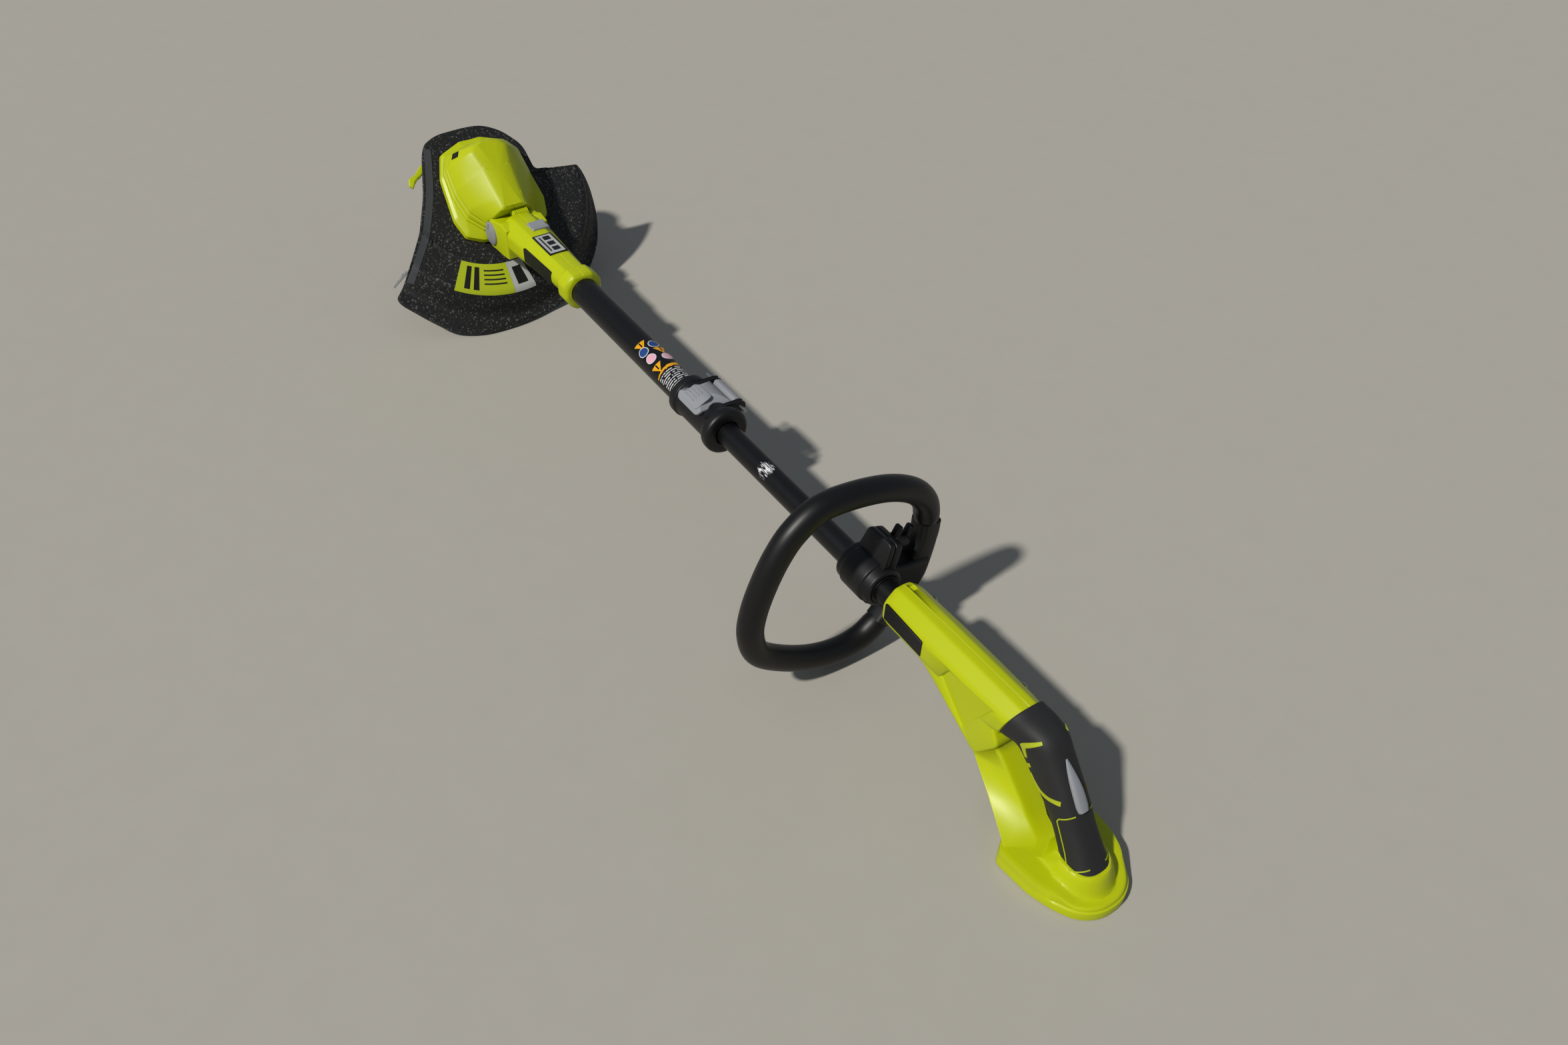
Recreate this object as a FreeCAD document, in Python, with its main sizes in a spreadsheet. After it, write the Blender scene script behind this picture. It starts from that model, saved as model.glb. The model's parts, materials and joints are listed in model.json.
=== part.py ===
"""Battery string trimmer with a telescopic shaft, a loop handle and a pivoting cutting head.

World frame: millimetres, +X from the hand grip towards the cutting head, +Y to the user's left,
+Z up. The origin lies on the floor, under the middle of the battery foot. The trimmer stands on
its foot and on the rear rim of the guard, so the shaft rises a little towards the head.
"""
import FreeCAD, Part
import math
import os
import re

import Sketcher

V = FreeCAD.Vector
DOC = FreeCAD.newDocument("string_trimmer")
SHEET = DOC.addObject("Spreadsheet::Sheet", "Sizes")

SIZES = {
    # fits and clearances
    "run_gap": 0.05, "seat_gap": 0.1, "part_gap": 0.4, "free_gap": 1.0,
    # shaft: height over the foot, slope, tubes and where they start and end along it
    "shaft_height": 104.5, "shaft_slope": 0.76, "tube_wall": 1.5,
    "upper_tube_radius": 12.7, "upper_tube_start": 118,
    "lower_tube_radius": 17,
    "bush_length": 30,
    # rear housing: barrel, strut, foot and grip
    "mouth_reach": 241, "barrel_start": 78, "barrel_half_width": 22, "barrel_top": 28,
    "barrel_bottom": 24, "barrel_bevel": 10, "strut_half_width": 15, "cheek_half_width": 19, "shell_wall": 3,
    "strut_front_top": 176, "strut_rear_top": 80, "strut_front_foot": 56, "strut_rear_foot": 20,
    "foot_front": 58, "foot_rear": -58, "foot_half_width": 50, "foot_rim": 9, "foot_height": 20,
    "socket_rear": -33, "socket_front": 43, "socket_half_width": 23, "socket_depth": 13,
    "grip_top_reach": 36, "grip_top_height": "=shaft_height + 26.5", "grip_angle": 53.6, "grip_length": 137,
    "grip_depth": 32, "grip_half_width": 16, "rubber_wall": 3, "grip_bevel": 6,
    # trigger and lock lever
    "trigger_half_width": 6, "trigger_start": 46, "trigger_length": 38, "trigger_out": 9,
    "lever_half_width": 5, "lever_start": 22, "lever_length": 62, "pin_radius": 2,
    # loop handle
    "loop_reach": 288, "loop_turn": 68, "hub_length": 48, "liner_wall": 2.4, "hub_wall": 7,
    "loop_half_width": 88, "loop_top": 110, "loop_base": 52, "loop_core": 8, "loop_rubber": 12.6,
    "loop_top_bend": 52, "loop_base_bend": 30, "flange_reach": 46, "flange_thick": 9,
    "clamp_bolt_offset": 37, "bolt_radius": 3, "knob_radius": 7, "wing_reach": 14,
    # shaft coupler
    "coupler_rear": 512, "coupler_front": "=coupler_rear + 120",
    "upper_tube_end": "=coupler_front + 40", "lower_tube_start": "=coupler_rear + 66",
    "coupler_radius": 22, "bell_radius": 26,
    "bell_length": 20, "lever_wall": 4, "coupler_lever_length": 62, "hinge_y": -27, "hinge_z": 13,
    # socket housing
    "collar_rear": 846, "collar_length": 22, "collar_half": 23,
    "lower_tube_end": "=collar_rear + 60", "neck_end": "=collar_rear + 174",
    "neck_half_rear": 20, "neck_half_front": 28, "neck_top": 17, "neck_bottom": 28,
    "ear_radius": 19.5, "ear_inner": 17, "ear_outer": 28.5, "cap_radius": 16, "cap_height": 4.5,
    "axle_radius": 6, "button_start": "=collar_rear + 119", "button_length": 42, "button_half_width": 8,
    # cutting head
    "pivot_reach": "=collar_rear + 197", "pivot_drop": 12.6, "head_tilt": 40,
    "head_reach": 71, "head_drop": 20.5,
    "barrel_radius": 18, "base_radius": 66, "base_height": 8, "dome_height": 60,
    "dome_half_base": 54, "dome_half_top": 33, "can_radius": 28, "can_bottom": 8, "can_length": 42,
    "motor_shaft_radius": 4,
    # guard
    "guard_radius": 166.5, "guard_flat": 134, "guard_shift_x": -4, "guard_shift_y": 14,
    "guard_wall": 2.6, "guard_drop": 28, "guard_lip": 6, "guard_front": 84,
    "guard_left_turn": 60, "guard_right_turn": 94, "guard_hole": 14,
    # string head
    "head_radius": 46, "head_top": -9, "head_bottom": -40, "head_wall": 3, "spool_core": 16,
    "post_radius": 8, "cover_depth": 14, "line_radius": 1.2, "line_gap": 5, "line_level": -27,
}


def fill_sheet():
    """Each driving size is one cell of the sheet, with its name as alias."""
    for row, (name, size) in enumerate(SIZES.items(), start=1):
        SHEET.set("A%d" % row, name)
        SHEET.set("B%d" % row, str(size))
        SHEET.setAlias("B%d" % row, name)
    DOC.recompute()


def bound(text):
    """The expression with each size name pointed at the sheet."""
    return re.sub(r"[a-z][a-z_]+", lambda m: "Sizes." + m.group() if m.group() in SIZES else m.group(),
                  str(text))


def val(text):
    """The value of an expression in the sheet's names, as a plain number."""
    got = SHEET.evalExpression(bound(text).replace("Sizes.", ""))
    return float(getattr(got, "Value", got))


def part_body(label, place):
    """An empty PartDesign body with its own label and place."""
    body = DOC.addObject("PartDesign::Body", label)
    body.Label = label
    body.Placement = place
    return body


def attach(body, role, offset):
    """A sketch on one of the body's own origin planes, moved and turned by offset."""
    sketch = body.newObject("Sketcher::SketchObject", "Sketch")
    plane = [f for f in body.Origin.OriginFeatures if f.Role == role][0]
    sketch.AttachmentSupport = (plane, "")
    sketch.MapMode = "FlatFace"
    if isinstance(offset, FreeCAD.Placement):
        sketch.AttachmentOffset = offset
    else:
        sketch.setExpression("AttachmentOffset.Base.z", bound(offset))
    return sketch


def polygon(body, role, points, offset="0"):
    """A closed outline whose corner coordinates are bound to the sheet."""
    sketch = attach(body, role, offset)
    corners = [V(val(a), val(b), 0) for a, b in points]
    count = len(points)
    for i in range(count):
        sketch.addGeometry(Part.LineSegment(corners[i], corners[(i + 1) % count]), False)
    for i in range(count):
        sketch.addConstraint(Sketcher.Constraint("Coincident", i, 2, (i + 1) % count, 1))
    for i in range(count):
        fix_point(sketch, i, 1, points[i], corners[i])
    return sketch


def circles(body, role, discs, offset="0"):
    """Circles given as (x, y, radius), all bound to the sheet."""
    sketch = attach(body, role, offset)
    for x, y, radius in discs:
        centre = V(val(x), val(y), 0)
        geo = sketch.addGeometry(Part.Circle(centre, V(0, 0, 1), val(radius)), False)
        fix_point(sketch, geo, 3, (x, y), centre)
        index = sketch.addConstraint(Sketcher.Constraint("Radius", geo, val(radius)))
        sketch.setExpression("Constraints[%d]" % index, bound(radius))
    return sketch


def fix_point(sketch, geo, end, where, corner):
    """Two signed distances from the sketch origin hold one point."""
    for kind, text, size in (("DistanceX", where[0], corner.x), ("DistanceY", where[1], corner.y)):
        index = sketch.addConstraint(Sketcher.Constraint(kind, -1, 1, geo, end, size))
        sketch.setExpression("Constraints[%d]" % index, bound(text))


def pad(body, sketch, length, back=False, middle=False):
    feature = body.newObject("PartDesign::Pad", "Pad")
    feature.Profile = sketch
    feature.setExpression("Length", bound(length))
    feature.Reversed = back
    feature.Midplane = middle
    return feature


def pocket(body, sketch, length, back=False, middle=False):
    """Cut the outline out of the body; the volume has to fall, or the cut points the wrong way."""
    DOC.recompute()
    before = body.Shape.Volume
    feature = body.newObject("PartDesign::Pocket", "Pocket")
    feature.Profile = sketch
    feature.setExpression("Length", bound(length))
    feature.Reversed = back
    feature.Midplane = middle
    DOC.recompute()
    if body.Shape.Volume > before - 1e-3:
        raise RuntimeError("a pocket of %s cut nothing" % body.Label)
    return feature


def turned(body, sketch, angle=360, axis="V_Axis"):
    """Revolve the outline about one axis of its own sketch."""
    feature = body.newObject("PartDesign::Revolution", "Turned")
    feature.Profile = sketch
    feature.ReferenceAxis = (sketch, [axis])
    feature.Angle = angle
    return feature


def loft(body, first, second):
    feature = body.newObject("PartDesign::AdditiveLoft", "Loft")
    feature.Profile = first
    feature.Sections = [second]
    feature.Ruled = True
    return feature


def group_of(label, shapes, place):
    """Identical small pieces kept in one node, as separate solids."""
    node = DOC.addObject("Part::Feature", label)
    node.Label = label
    node.Shape = Part.makeCompound(shapes)
    node.Placement = place
    return node


def rod(radius, start, along, length):
    """A plain cylinder from a start point along a direction."""
    return Part.makeCylinder(radius, length, start, along)


def spin_y(degrees, base=V(0, 0, 0)):
    """A place turned about +Y: a positive angle lowers the nose."""
    return FreeCAD.Placement(base, FreeCAD.Rotation(V(0, 1, 0), degrees))


fill_sheet()
WORLD = FreeCAD.Placement()
SHAFT = spin_y(-val("shaft_slope"), V(0, 0, val("shaft_height")))
PIVOT = SHAFT.multVec(V(val("pivot_reach"), 0, -val("pivot_drop")))
HEAD = spin_y(-val("head_tilt"), PIVOT)
HEAD.Base = HEAD.multVec(V(val("head_reach"), 0, -val("head_drop")))
GRIP = spin_y(180 - val("grip_angle"), V(val("grip_top_reach"), 0, val("grip_top_height")))
LOOP = SHAFT.multiply(FreeCAD.Placement(V(val("loop_reach"), 0, 0),
                                        FreeCAD.Rotation(V(1, 0, 0), -val("loop_turn"))))
SIDES = (("left", 1), ("right", -1))


def in_plane(body_place, target, role):
    """The attachment offset that brings an origin plane's sketch onto the same plane of target."""
    planes = {"YZ_Plane": FreeCAD.Rotation(0.5, 0.5, 0.5, 0.5), "XY_Plane": FreeCAD.Rotation(),
              "XZ_Plane": FreeCAD.Rotation(V(1, 0, 0), 90)}
    base = FreeCAD.Placement(V(0, 0, 0), planes[role])
    return body_place.multiply(base).inverse().multiply(target.multiply(base))


def moved(frame, x, y=0, z=0):
    return frame.multiply(FreeCAD.Placement(V(x, y, z), FreeCAD.Rotation()))


def half_ring(half, top, bottom, bevel):
    """Left half of a bevelled box section in y and z."""
    inner = "%s - %s" % (half, bevel)
    return [("0", "-(%s)" % bottom), (inner, "-(%s)" % bottom), (half, "-(%s) + %s" % (bottom, bevel)),
            (half, "%s - %s" % (top, bevel)), (inner, top), ("0", top)]


def right_half(left):
    """The right half of a split housing mirrors the left one in the middle plane."""
    label = left.Label.replace("_left", "_right")
    node = DOC.addObject("Part::Mirroring", label)
    node.Label = label
    node.Source = left
    node.Normal = V(0, 1, 0)
    return node


def rear_housing():
    """Left shell half: octagonal barrel, strut, battery foot and grip core, with its cavities."""
    body = part_body("rear_housing_left", WORLD)
    barrel = in_plane(WORLD, moved(SHAFT, val("barrel_start")), "YZ_Plane")
    section = half_ring("barrel_half_width", "barrel_top", "barrel_bottom", "barrel_bevel")
    pad(body, polygon(body, "YZ_Plane", section, barrel), "mouth_reach - barrel_start")
    strut = [("strut_front_top", "shaft_height - 12"), ("strut_front_top - 70", "shaft_height - 56"),
             ("strut_front_foot", "foot_rim - 4"), ("strut_rear_foot", "foot_rim - 4"),
             ("strut_rear_foot", "foot_height"), ("strut_rear_top", "shaft_height - 22"),
             ("strut_rear_top", "shaft_height - 12")]
    pad(body, polygon(body, "XZ_Plane", strut), "strut_half_width", back=True)
    cheek = [("strut_front_top", "shaft_height - 12"), ("strut_front_top - 70", "shaft_height - 56"),
             ("strut_rear_top - 3", "shaft_height - 26"), ("strut_rear_top", "shaft_height")]
    pad(body, polygon(body, "XZ_Plane", cheek), "cheek_half_width", back=True)
    rim = [("foot_front", "0"), ("foot_front", "foot_half_width * 0.55"),
           ("foot_front - 28", "foot_half_width"),
           ("foot_rear + 34", "foot_half_width - 5"),
           ("foot_rear + 8", "foot_half_width * 0.5"), ("foot_rear", "0")]
    pad(body, polygon(body, "XY_Plane", rim), "foot_rim")
    deck = [("foot_front - 8", "0"), ("foot_front - 8", "foot_half_width * 0.45"),
            ("foot_front - 32", "foot_half_width - 8"),
            ("foot_rear + 36", "foot_half_width - 12"),
            ("foot_rear + 13", "foot_half_width * 0.35"), ("foot_rear + 6", "0")]
    pad(body, polygon(body, "XY_Plane", deck, "foot_rim"), "foot_height - foot_rim")
    base = [("strut_rear_foot", "0"), ("strut_rear_foot", "strut_half_width"),
            ("strut_rear_foot + 11", "foot_half_width - 7"), ("foot_front - 9", "foot_half_width * 0.4"),
            ("foot_front - 9", "0")]
    waist = [("strut_rear_top - 28", "0"), ("strut_rear_top - 28", "strut_half_width"),
             ("strut_front_top - 72", "cheek_half_width"), ("strut_front_top - 70", "8"),
             ("strut_front_top - 70", "0")]
    loft(body, polygon(body, "XY_Plane", base, "foot_rim"),
         polygon(body, "XY_Plane", waist, "shaft_height - 55"))
    core = in_plane(WORLD, GRIP, "XZ_Plane")
    front_end = ("(grip_top_height - foot_rim) / sin(grip_angle)"
                 " - (grip_depth - rubber_wall) / tan(grip_angle)")
    core_side = [("grip_bevel", "rubber_wall"), ("grip_length + 6", "rubber_wall"),
                 (front_end, "grip_depth - rubber_wall"), ("28", "grip_depth - rubber_wall")]
    pad(body, polygon(body, "XZ_Plane", core_side, core), "grip_half_width - rubber_wall",
        back=True)
    elbow = [("grip_top_reach + 4", "grip_top_height - 8"), ("grip_top_reach + 14", "shaft_height - 10"),
             ("barrel_start + 4", "shaft_height - 10"), ("barrel_start + 4", "shaft_height + 24")]
    pad(body, polygon(body, "XZ_Plane", elbow), "grip_half_width - rubber_wall", back=True)
    bore = in_plane(WORLD, moved(SHAFT, val("upper_tube_start")), "YZ_Plane")
    hole = circles(body, "YZ_Plane", [("0", "0", "upper_tube_radius + seat_gap")], bore)
    pocket(body, hole, "mouth_reach - upper_tube_start + 1", back=True)
    hollow = [("strut_rear_top + 4", "shaft_height - 26.5"), ("strut_front_top - 30", "shaft_height - 28"),
              ("strut_front_foot + 4", "foot_height - 6"), ("strut_rear_foot + 10", "foot_height + 4")]
    pocket(body, polygon(body, "XZ_Plane", hollow), "strut_half_width - shell_wall")
    socket = [("socket_rear", "-1"), ("socket_front", "-1"),
              ("socket_front", "socket_depth"), ("socket_rear", "socket_depth")]
    pocket(body, polygon(body, "XZ_Plane", socket), "socket_half_width")
    stem = [("socket_rear", "socket_depth - 1"), ("socket_rear + 20", "socket_depth - 1"),
            ("socket_rear + 28", "36"), ("socket_rear + 8", "36")]
    pocket(body, polygon(body, "XZ_Plane", stem), "grip_half_width - 2 * rubber_wall")
    pocket(body, polygon(body, "XZ_Plane", trigger_bay(), core),
           "trigger_half_width + part_gap")
    pocket(body, polygon(body, "XZ_Plane", lever_bay(), core),
           "lever_half_width + part_gap")
    pins = circles(body, "XZ_Plane", [("trigger_start + 4", "grip_depth - 11", "pin_radius + run_gap"),
                                      ("lever_start + 4", "6", "pin_radius + run_gap")], core)
    pocket(body, pins, "grip_half_width - 2 * rubber_wall")
    return body


def trigger_bay():
    """Room for the trigger, its spring and the switch, seen from the side in the grip's frame."""
    return [("trigger_start - 8", "grip_depth + 1"), ("trigger_start - 8", "11"),
            ("trigger_start + trigger_length + 6", "11"),
            ("trigger_start + trigger_length + 6", "grip_depth + 1")]


def lever_bay():
    return [("lever_start - 4", "-1"), ("lever_start + lever_length + 4", "-1"),
            ("lever_start + lever_length + 4", "10.5"), ("lever_start - 4", "10.5")]


def grip_rubber():
    """Left half of the rubber grip cover, a bevelled shell round the grip core."""
    body = part_body("grip_rubber_left", GRIP)
    end = "(grip_top_height - foot_height - part_gap) / sin(grip_angle)"
    outside = [("0", "0"), (end, "0"), (end + " - grip_depth / tan(grip_angle)", "grip_depth"),
               ("34", "grip_depth"), ("15", "grip_depth + 12"), ("-16", "grip_depth + 4"),
               ("-10", "14")]
    cover = pad(body, polygon(body, "XZ_Plane", outside), "grip_half_width", back=True)
    DOC.recompute()
    face_y = val("grip_half_width")
    rim = ["Edge%d" % (i + 1) for i, e in enumerate(cover.Shape.Edges)
           if all(abs(v.Point.y - face_y) < 1e-6 for v in e.Vertexes)]
    bevel = body.newObject("PartDesign::Chamfer", "Bevel")
    bevel.Base = (cover, rim)
    bevel.setExpression("Size", bound("grip_bevel"))
    inside = [("grip_bevel - seat_gap", "rubber_wall - seat_gap"),
              ("grip_length + 8", "rubber_wall - seat_gap"),
              ("grip_length + 8", "grip_depth - rubber_wall + seat_gap"),
              ("28", "grip_depth - rubber_wall + seat_gap"), ("12", "grip_depth + 14"),
              ("-18", "grip_depth + 14"), ("-18", "15"), ("-3", "15")]
    pocket(body, polygon(body, "XZ_Plane", inside), "grip_half_width - rubber_wall + seat_gap")
    pocket(body, polygon(body, "XZ_Plane", trigger_bay()), "trigger_half_width + part_gap")
    pocket(body, polygon(body, "XZ_Plane", lever_bay()), "lever_half_width + part_gap")
    return body


def trigger():
    """Squeeze trigger, hung on a pin at its upper end."""
    body = part_body("trigger", GRIP)
    side = [("trigger_start - 4", "grip_depth - 15"), ("trigger_start - 4", "grip_depth - 4"),
            ("trigger_start + 6", "grip_depth + trigger_out - 2"),
            ("trigger_start + trigger_length - 8", "grip_depth + trigger_out"),
            ("trigger_start + trigger_length", "grip_depth + trigger_out - 3"),
            ("trigger_start + trigger_length", "grip_depth - 8"),
            ("trigger_start + 10", "grip_depth - 8"), ("trigger_start + 8", "grip_depth - 15")]
    pad(body, polygon(body, "XZ_Plane", side), "2 * trigger_half_width", middle=True)
    pin = circles(body, "XZ_Plane", [("trigger_start + 4", "grip_depth - 11", "pin_radius + run_gap")])
    pocket(body, pin, "2 * trigger_half_width + 2", middle=True)
    return body


def lock_lever():
    """Long lock lever along the back of the grip, on a pin at its upper end."""
    body = part_body("lock_lever", GRIP)
    side = [("lever_start", "1"), ("lever_start + 8", "-2.4"), ("lever_start + lever_length - 14", "-3"),
            ("lever_start + lever_length", "1.5"), ("lever_start + lever_length", "4"),
            ("lever_start + 12", "5"), ("lever_start + 8", "10"), ("lever_start", "10")]
    pad(body, polygon(body, "XZ_Plane", side), "2 * lever_half_width", middle=True)
    pin = circles(body, "XZ_Plane", [("lever_start + 4", "6", "pin_radius + run_gap")])
    pocket(body, pin, "2 * lever_half_width + 2", middle=True)
    return body


def cross_pin(label, frame, x, z, half, radius):
    """A plain pin across the middle plane of a frame."""
    node = DOC.addObject("Part::Cylinder", label)
    node.Label = label
    node.setExpression("Radius", bound(radius))
    node.setExpression("Height", bound("2 * (%s)" % half))
    turn = FreeCAD.Placement(V(val(x), val(half), val(z)), FreeCAD.Rotation(V(1, 0, 0), 90))
    node.Placement = frame.multiply(turn)
    return node


def turned_body(label, frame, profile, axis="H_Axis", angle=360, start=None):
    """A body of revolution about its frame's X axis, or its Z axis with axis V_Axis."""
    body = part_body(label, frame)
    sketch = polygon(body, "XZ_Plane", profile, start or "0")
    turned(body, sketch, angle, axis)
    return body


def sleeve(label, frame, start, end, inner, outer):
    return turned_body(label, frame, [(start, inner), (end, inner), (end, outer), (start, outer)])


def helix_spring(label, frame, radius, wire, height, turns):
    """Compression spring: a round wire swept along a helix about the frame's Z axis."""
    path = Part.makeHelix(height / turns, height, radius)
    ring = Part.Wire(Part.Circle(V(radius, 0, 0), V(0, 1, 0), wire).toShape())
    node = DOC.addObject("Part::Feature", label)
    node.Label = label
    node.Shape = Part.Wire(path.Edges).makePipeShell([ring], True, True)
    node.Placement = frame
    return node


def grip_inside():
    """Switch, springs and pins in the grip, and the battery contacts in the foot."""
    start, depth = val("trigger_start"), val("grip_depth")
    cross_pin("trigger_pin", GRIP, "trigger_start + 4", "grip_depth - 11", "9.5", "pin_radius")
    cross_pin("lock_lever_pin", GRIP, "lever_start + 4", "6", "9.5", "pin_radius")
    reach = val("trigger_length") + start
    spring_place = moved(GRIP, reach - 18, 0, depth - 12.1)
    helix_spring("trigger_spring", spring_place, 2.6, 0.5, 3.2, 3)
    switch = part_body("trigger_switch", GRIP)
    box = [("trigger_start + 12", "11.5"), ("trigger_start + trigger_length + 5", "11.5"),
           ("trigger_start + trigger_length + 5", "grip_depth - 15.6"),
           ("trigger_start + 12", "grip_depth - 15.6")]
    pad(switch, polygon(switch, "XZ_Plane", box), "2 * trigger_half_width", middle=True)
    block = part_body("terminal_block", WORLD)
    deck = [("-8", "socket_depth - 6"), ("26", "socket_depth - 6"), ("26", "socket_depth"),
            ("-8", "socket_depth")]
    pad(block, polygon(block, "XZ_Plane", deck), "36", middle=True)
    blades = [Part.makeBox(18, 0.8, 5, V(2, y - 0.4, val("socket_depth") - 11)) for y in (-12, 0, 12)]
    group_of("terminal_blades", blades, WORLD)


def tubes():
    sleeve("upper_tube", SHAFT, "upper_tube_start", "upper_tube_end", "upper_tube_radius - tube_wall",
           "upper_tube_radius")
    sleeve("guide_bush", SHAFT, "upper_tube_end - bush_length", "upper_tube_end", "upper_tube_radius",
           "lower_tube_radius - tube_wall - run_gap")
    sleeve("lower_tube", SHAFT, "lower_tube_start", "lower_tube_end",
           "lower_tube_radius - tube_wall", "lower_tube_radius")
    sleeve("tube_label", SHAFT, "coupler_front + 6", "coupler_front + 96", "lower_tube_radius",
           "lower_tube_radius + 0.15")


def rounded_path(points, bends):
    """Straight runs joined by tangent arcs; each inner corner has its own bend radius."""
    edges = []
    last = points[0]
    for i in range(1, len(points) - 1):
        corner, bend = points[i], bends[i - 1]
        before = (points[i - 1] - corner).normalize()
        after = (points[i + 1] - corner).normalize()
        half = before.getAngle(after) / 2
        run = bend / math.tan(half)
        middle = (before + after).normalize() * (bend / math.sin(half) - bend)
        first, third = corner + before * run, corner + after * run
        edges.append(Part.makeLine(last, first))
        edges.append(Part.Arc(first, corner + middle, third).toShape())
        last = third
    edges.append(Part.makeLine(last, points[-1]))
    return Part.Wire(edges)


def pipe(path, radius):
    """A round bar of one radius along a wire."""
    edge = path.Edges[0]
    at, along = edge.valueAt(edge.FirstParameter), edge.tangentAt(edge.FirstParameter)
    ring = Part.Wire(Part.Circle(at, along, radius).toShape())
    return path.makePipeShell([ring], True, False, 2)


def shape_node(label, shape, frame):
    node = DOC.addObject("Part::Feature", label)
    node.Label = label
    node.Shape = shape
    node.Placement = frame
    return node


def loop_handle():
    """D-shaped loop: plastic bracket with a core ring, rubber grip, liner, clamp cap and bolts."""
    half, top, base = val("loop_half_width"), val("loop_top"), val("loop_base")
    top_bend, base_bend = val("loop_top_bend"), val("loop_base_bend")
    seam_y = half - 8 * (base - 10) / (top + base)
    seam_left, seam_right = V(0, seam_y, -10), V(0, -seam_y, -10)
    upper = rounded_path([seam_right, V(0, -half + 8, top), V(0, half - 8, top), seam_left],
                         [top_bend, top_bend])
    lower = rounded_path([seam_left, V(0, half, -base), V(0, -half, -base), seam_right],
                         [base_bend, base_bend])
    core = pipe(upper, val("loop_core"))
    grip = pipe(upper, val("loop_rubber")).cut(core)
    hub, bolt_y = val("hub_length"), val("clamp_bolt_offset")
    bore = val("upper_tube_radius + liner_wall + run_gap")
    ring = bore + val("hub_wall")
    flange, thick = val("flange_reach"), val("flange_thick")
    saddle = Part.makeBox(hub, 2 * flange, thick, V(-hub / 2, -flange, -thick))
    half_hub = rod(ring, V(-hub / 2, 0, 0), V(1, 0, 0), hub)
    below = Part.makeBox(hub, 2 * ring, ring, V(-hub / 2, -ring, -ring))
    above = Part.makeBox(hub, 2 * ring, ring, V(-hub / 2, -ring, val("part_gap")))
    neck = Part.makeBox(hub - 14, 30, base - 4, V(-hub / 2 + 7, -15, -base))
    bracket = core.multiFuse([pipe(lower, val("loop_rubber") - 0.6), saddle, neck,
                              half_hub.common(below)]).removeSplitter()
    tunnel = rod(bore, V(-hub, 0, 0), V(1, 0, 0), 2 * hub)
    holes = [rod(val("bolt_radius + seat_gap"), V(0, y, -thick - 5), V(0, 0, 1), 40)
             for y in (-bolt_y, bolt_y)]
    shape_node("loop_bracket", bracket.cut(tunnel).cut(holes[0]).cut(holes[1]), LOOP)
    shape_node("loop_grip", grip, LOOP)
    plate = Part.makeBox(hub, 2 * flange, thick, V(-hub / 2, -flange, val("part_gap")))
    cap = plate.fuse(half_hub.common(above)).removeSplitter()
    shape_node("clamp_cap", cap.cut(tunnel).cut(holes[0]).cut(holes[1]), LOOP)
    sleeve("clamp_liner", SHAFT, "loop_reach - hub_length / 2 - 2", "loop_reach + hub_length / 2 + 2",
           "upper_tube_radius + run_gap", "upper_tube_radius + liner_wall")
    seat = thick + val("part_gap")
    bolt = rod(val("bolt_radius"), V(0, -bolt_y, -thick - 19), V(0, 0, 1), seat + thick + 19)
    head = rod(5.5, V(0, -bolt_y, seat), V(0, 0, 1), 4)
    shape_node("clamp_bolt", bolt.fuse(head).removeSplitter(), LOOP)
    screw = rod(val("bolt_radius"), V(0, bolt_y, -thick - 4), V(0, 0, 1), seat + thick + 4)
    ends = [rod(5.5, V(0, bolt_y, seat), V(0, 0, 1), 4), rod(5.5, V(0, bolt_y, -thick - 4), V(0, 0, 1), 4)]
    shape_node("clamp_screw", screw.multiFuse(ends).removeSplitter(), LOOP)


def wing_knob():
    """Two-winged knob on the clamp bolt, under the flange."""
    body = part_body("wing_knob", moved(LOOP, 0, -val("clamp_bolt_offset"), 0))
    top = "-flange_thick - part_gap"
    hub = [("bolt_radius + run_gap", top), ("knob_radius", top), ("knob_radius", top + " - 12"),
           ("bolt_radius + 2", top + " - 16"), ("bolt_radius + run_gap", top + " - 16")]
    turned(body, polygon(body, "XZ_Plane", hub), 360, "V_Axis")
    for turn in (1, -1):
        wing = [("%d * (knob_radius - 1)" % turn, top + " - 2"), ("%d * wing_reach" % turn, top + " - 8"),
                ("%d * wing_reach" % turn, top + " - 20"),
                ("%d * (wing_reach - 4)" % turn, top + " - 20"),
                ("%d * (knob_radius - 1)" % turn, top + " - 11")]
        pad(body, polygon(body, "XZ_Plane", wing), "4", middle=True)
    return body


def coupler():
    """Coupler on the rear end of the lower tube, with a bell ring and a flip lever on two lugs."""
    body = part_body("coupler_body", SHAFT)
    profile = [("coupler_rear", "upper_tube_radius + run_gap"),
               ("lower_tube_start", "upper_tube_radius + run_gap"),
               ("lower_tube_start", "lower_tube_radius"), ("coupler_front", "lower_tube_radius"),
               ("coupler_front", "coupler_radius + 1"), ("coupler_front - 10", "coupler_radius + 1"),
               ("coupler_front - 12", "coupler_radius"),
               ("coupler_rear + bell_length + 4", "coupler_radius"),
               ("coupler_rear + bell_length", "bell_radius"), ("coupler_rear + 3", "bell_radius"),
               ("coupler_rear", "bell_radius - 3")]
    turned(body, polygon(body, "XZ_Plane", profile), 360, "H_Axis")
    start = "(coupler_rear + bell_length + 14)"
    for offset in (start + " - 7", start + " + coupler_lever_length + 1"):
        lug = [("-15", "13"), ("hinge_y - 5", "hinge_z - 6"), ("hinge_y - 5", "hinge_z + 5"),
               ("hinge_y + 4", "hinge_z + 5"), ("-8", "20")]
        pad(body, polygon(body, "YZ_Plane", lug, offset), "6")
    bore = circles(body, "YZ_Plane", [("hinge_y", "hinge_z", "pin_radius + seat_gap")], start + " - 8")
    pocket(body, bore, "coupler_lever_length + 20", back=True)
    return body


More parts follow.
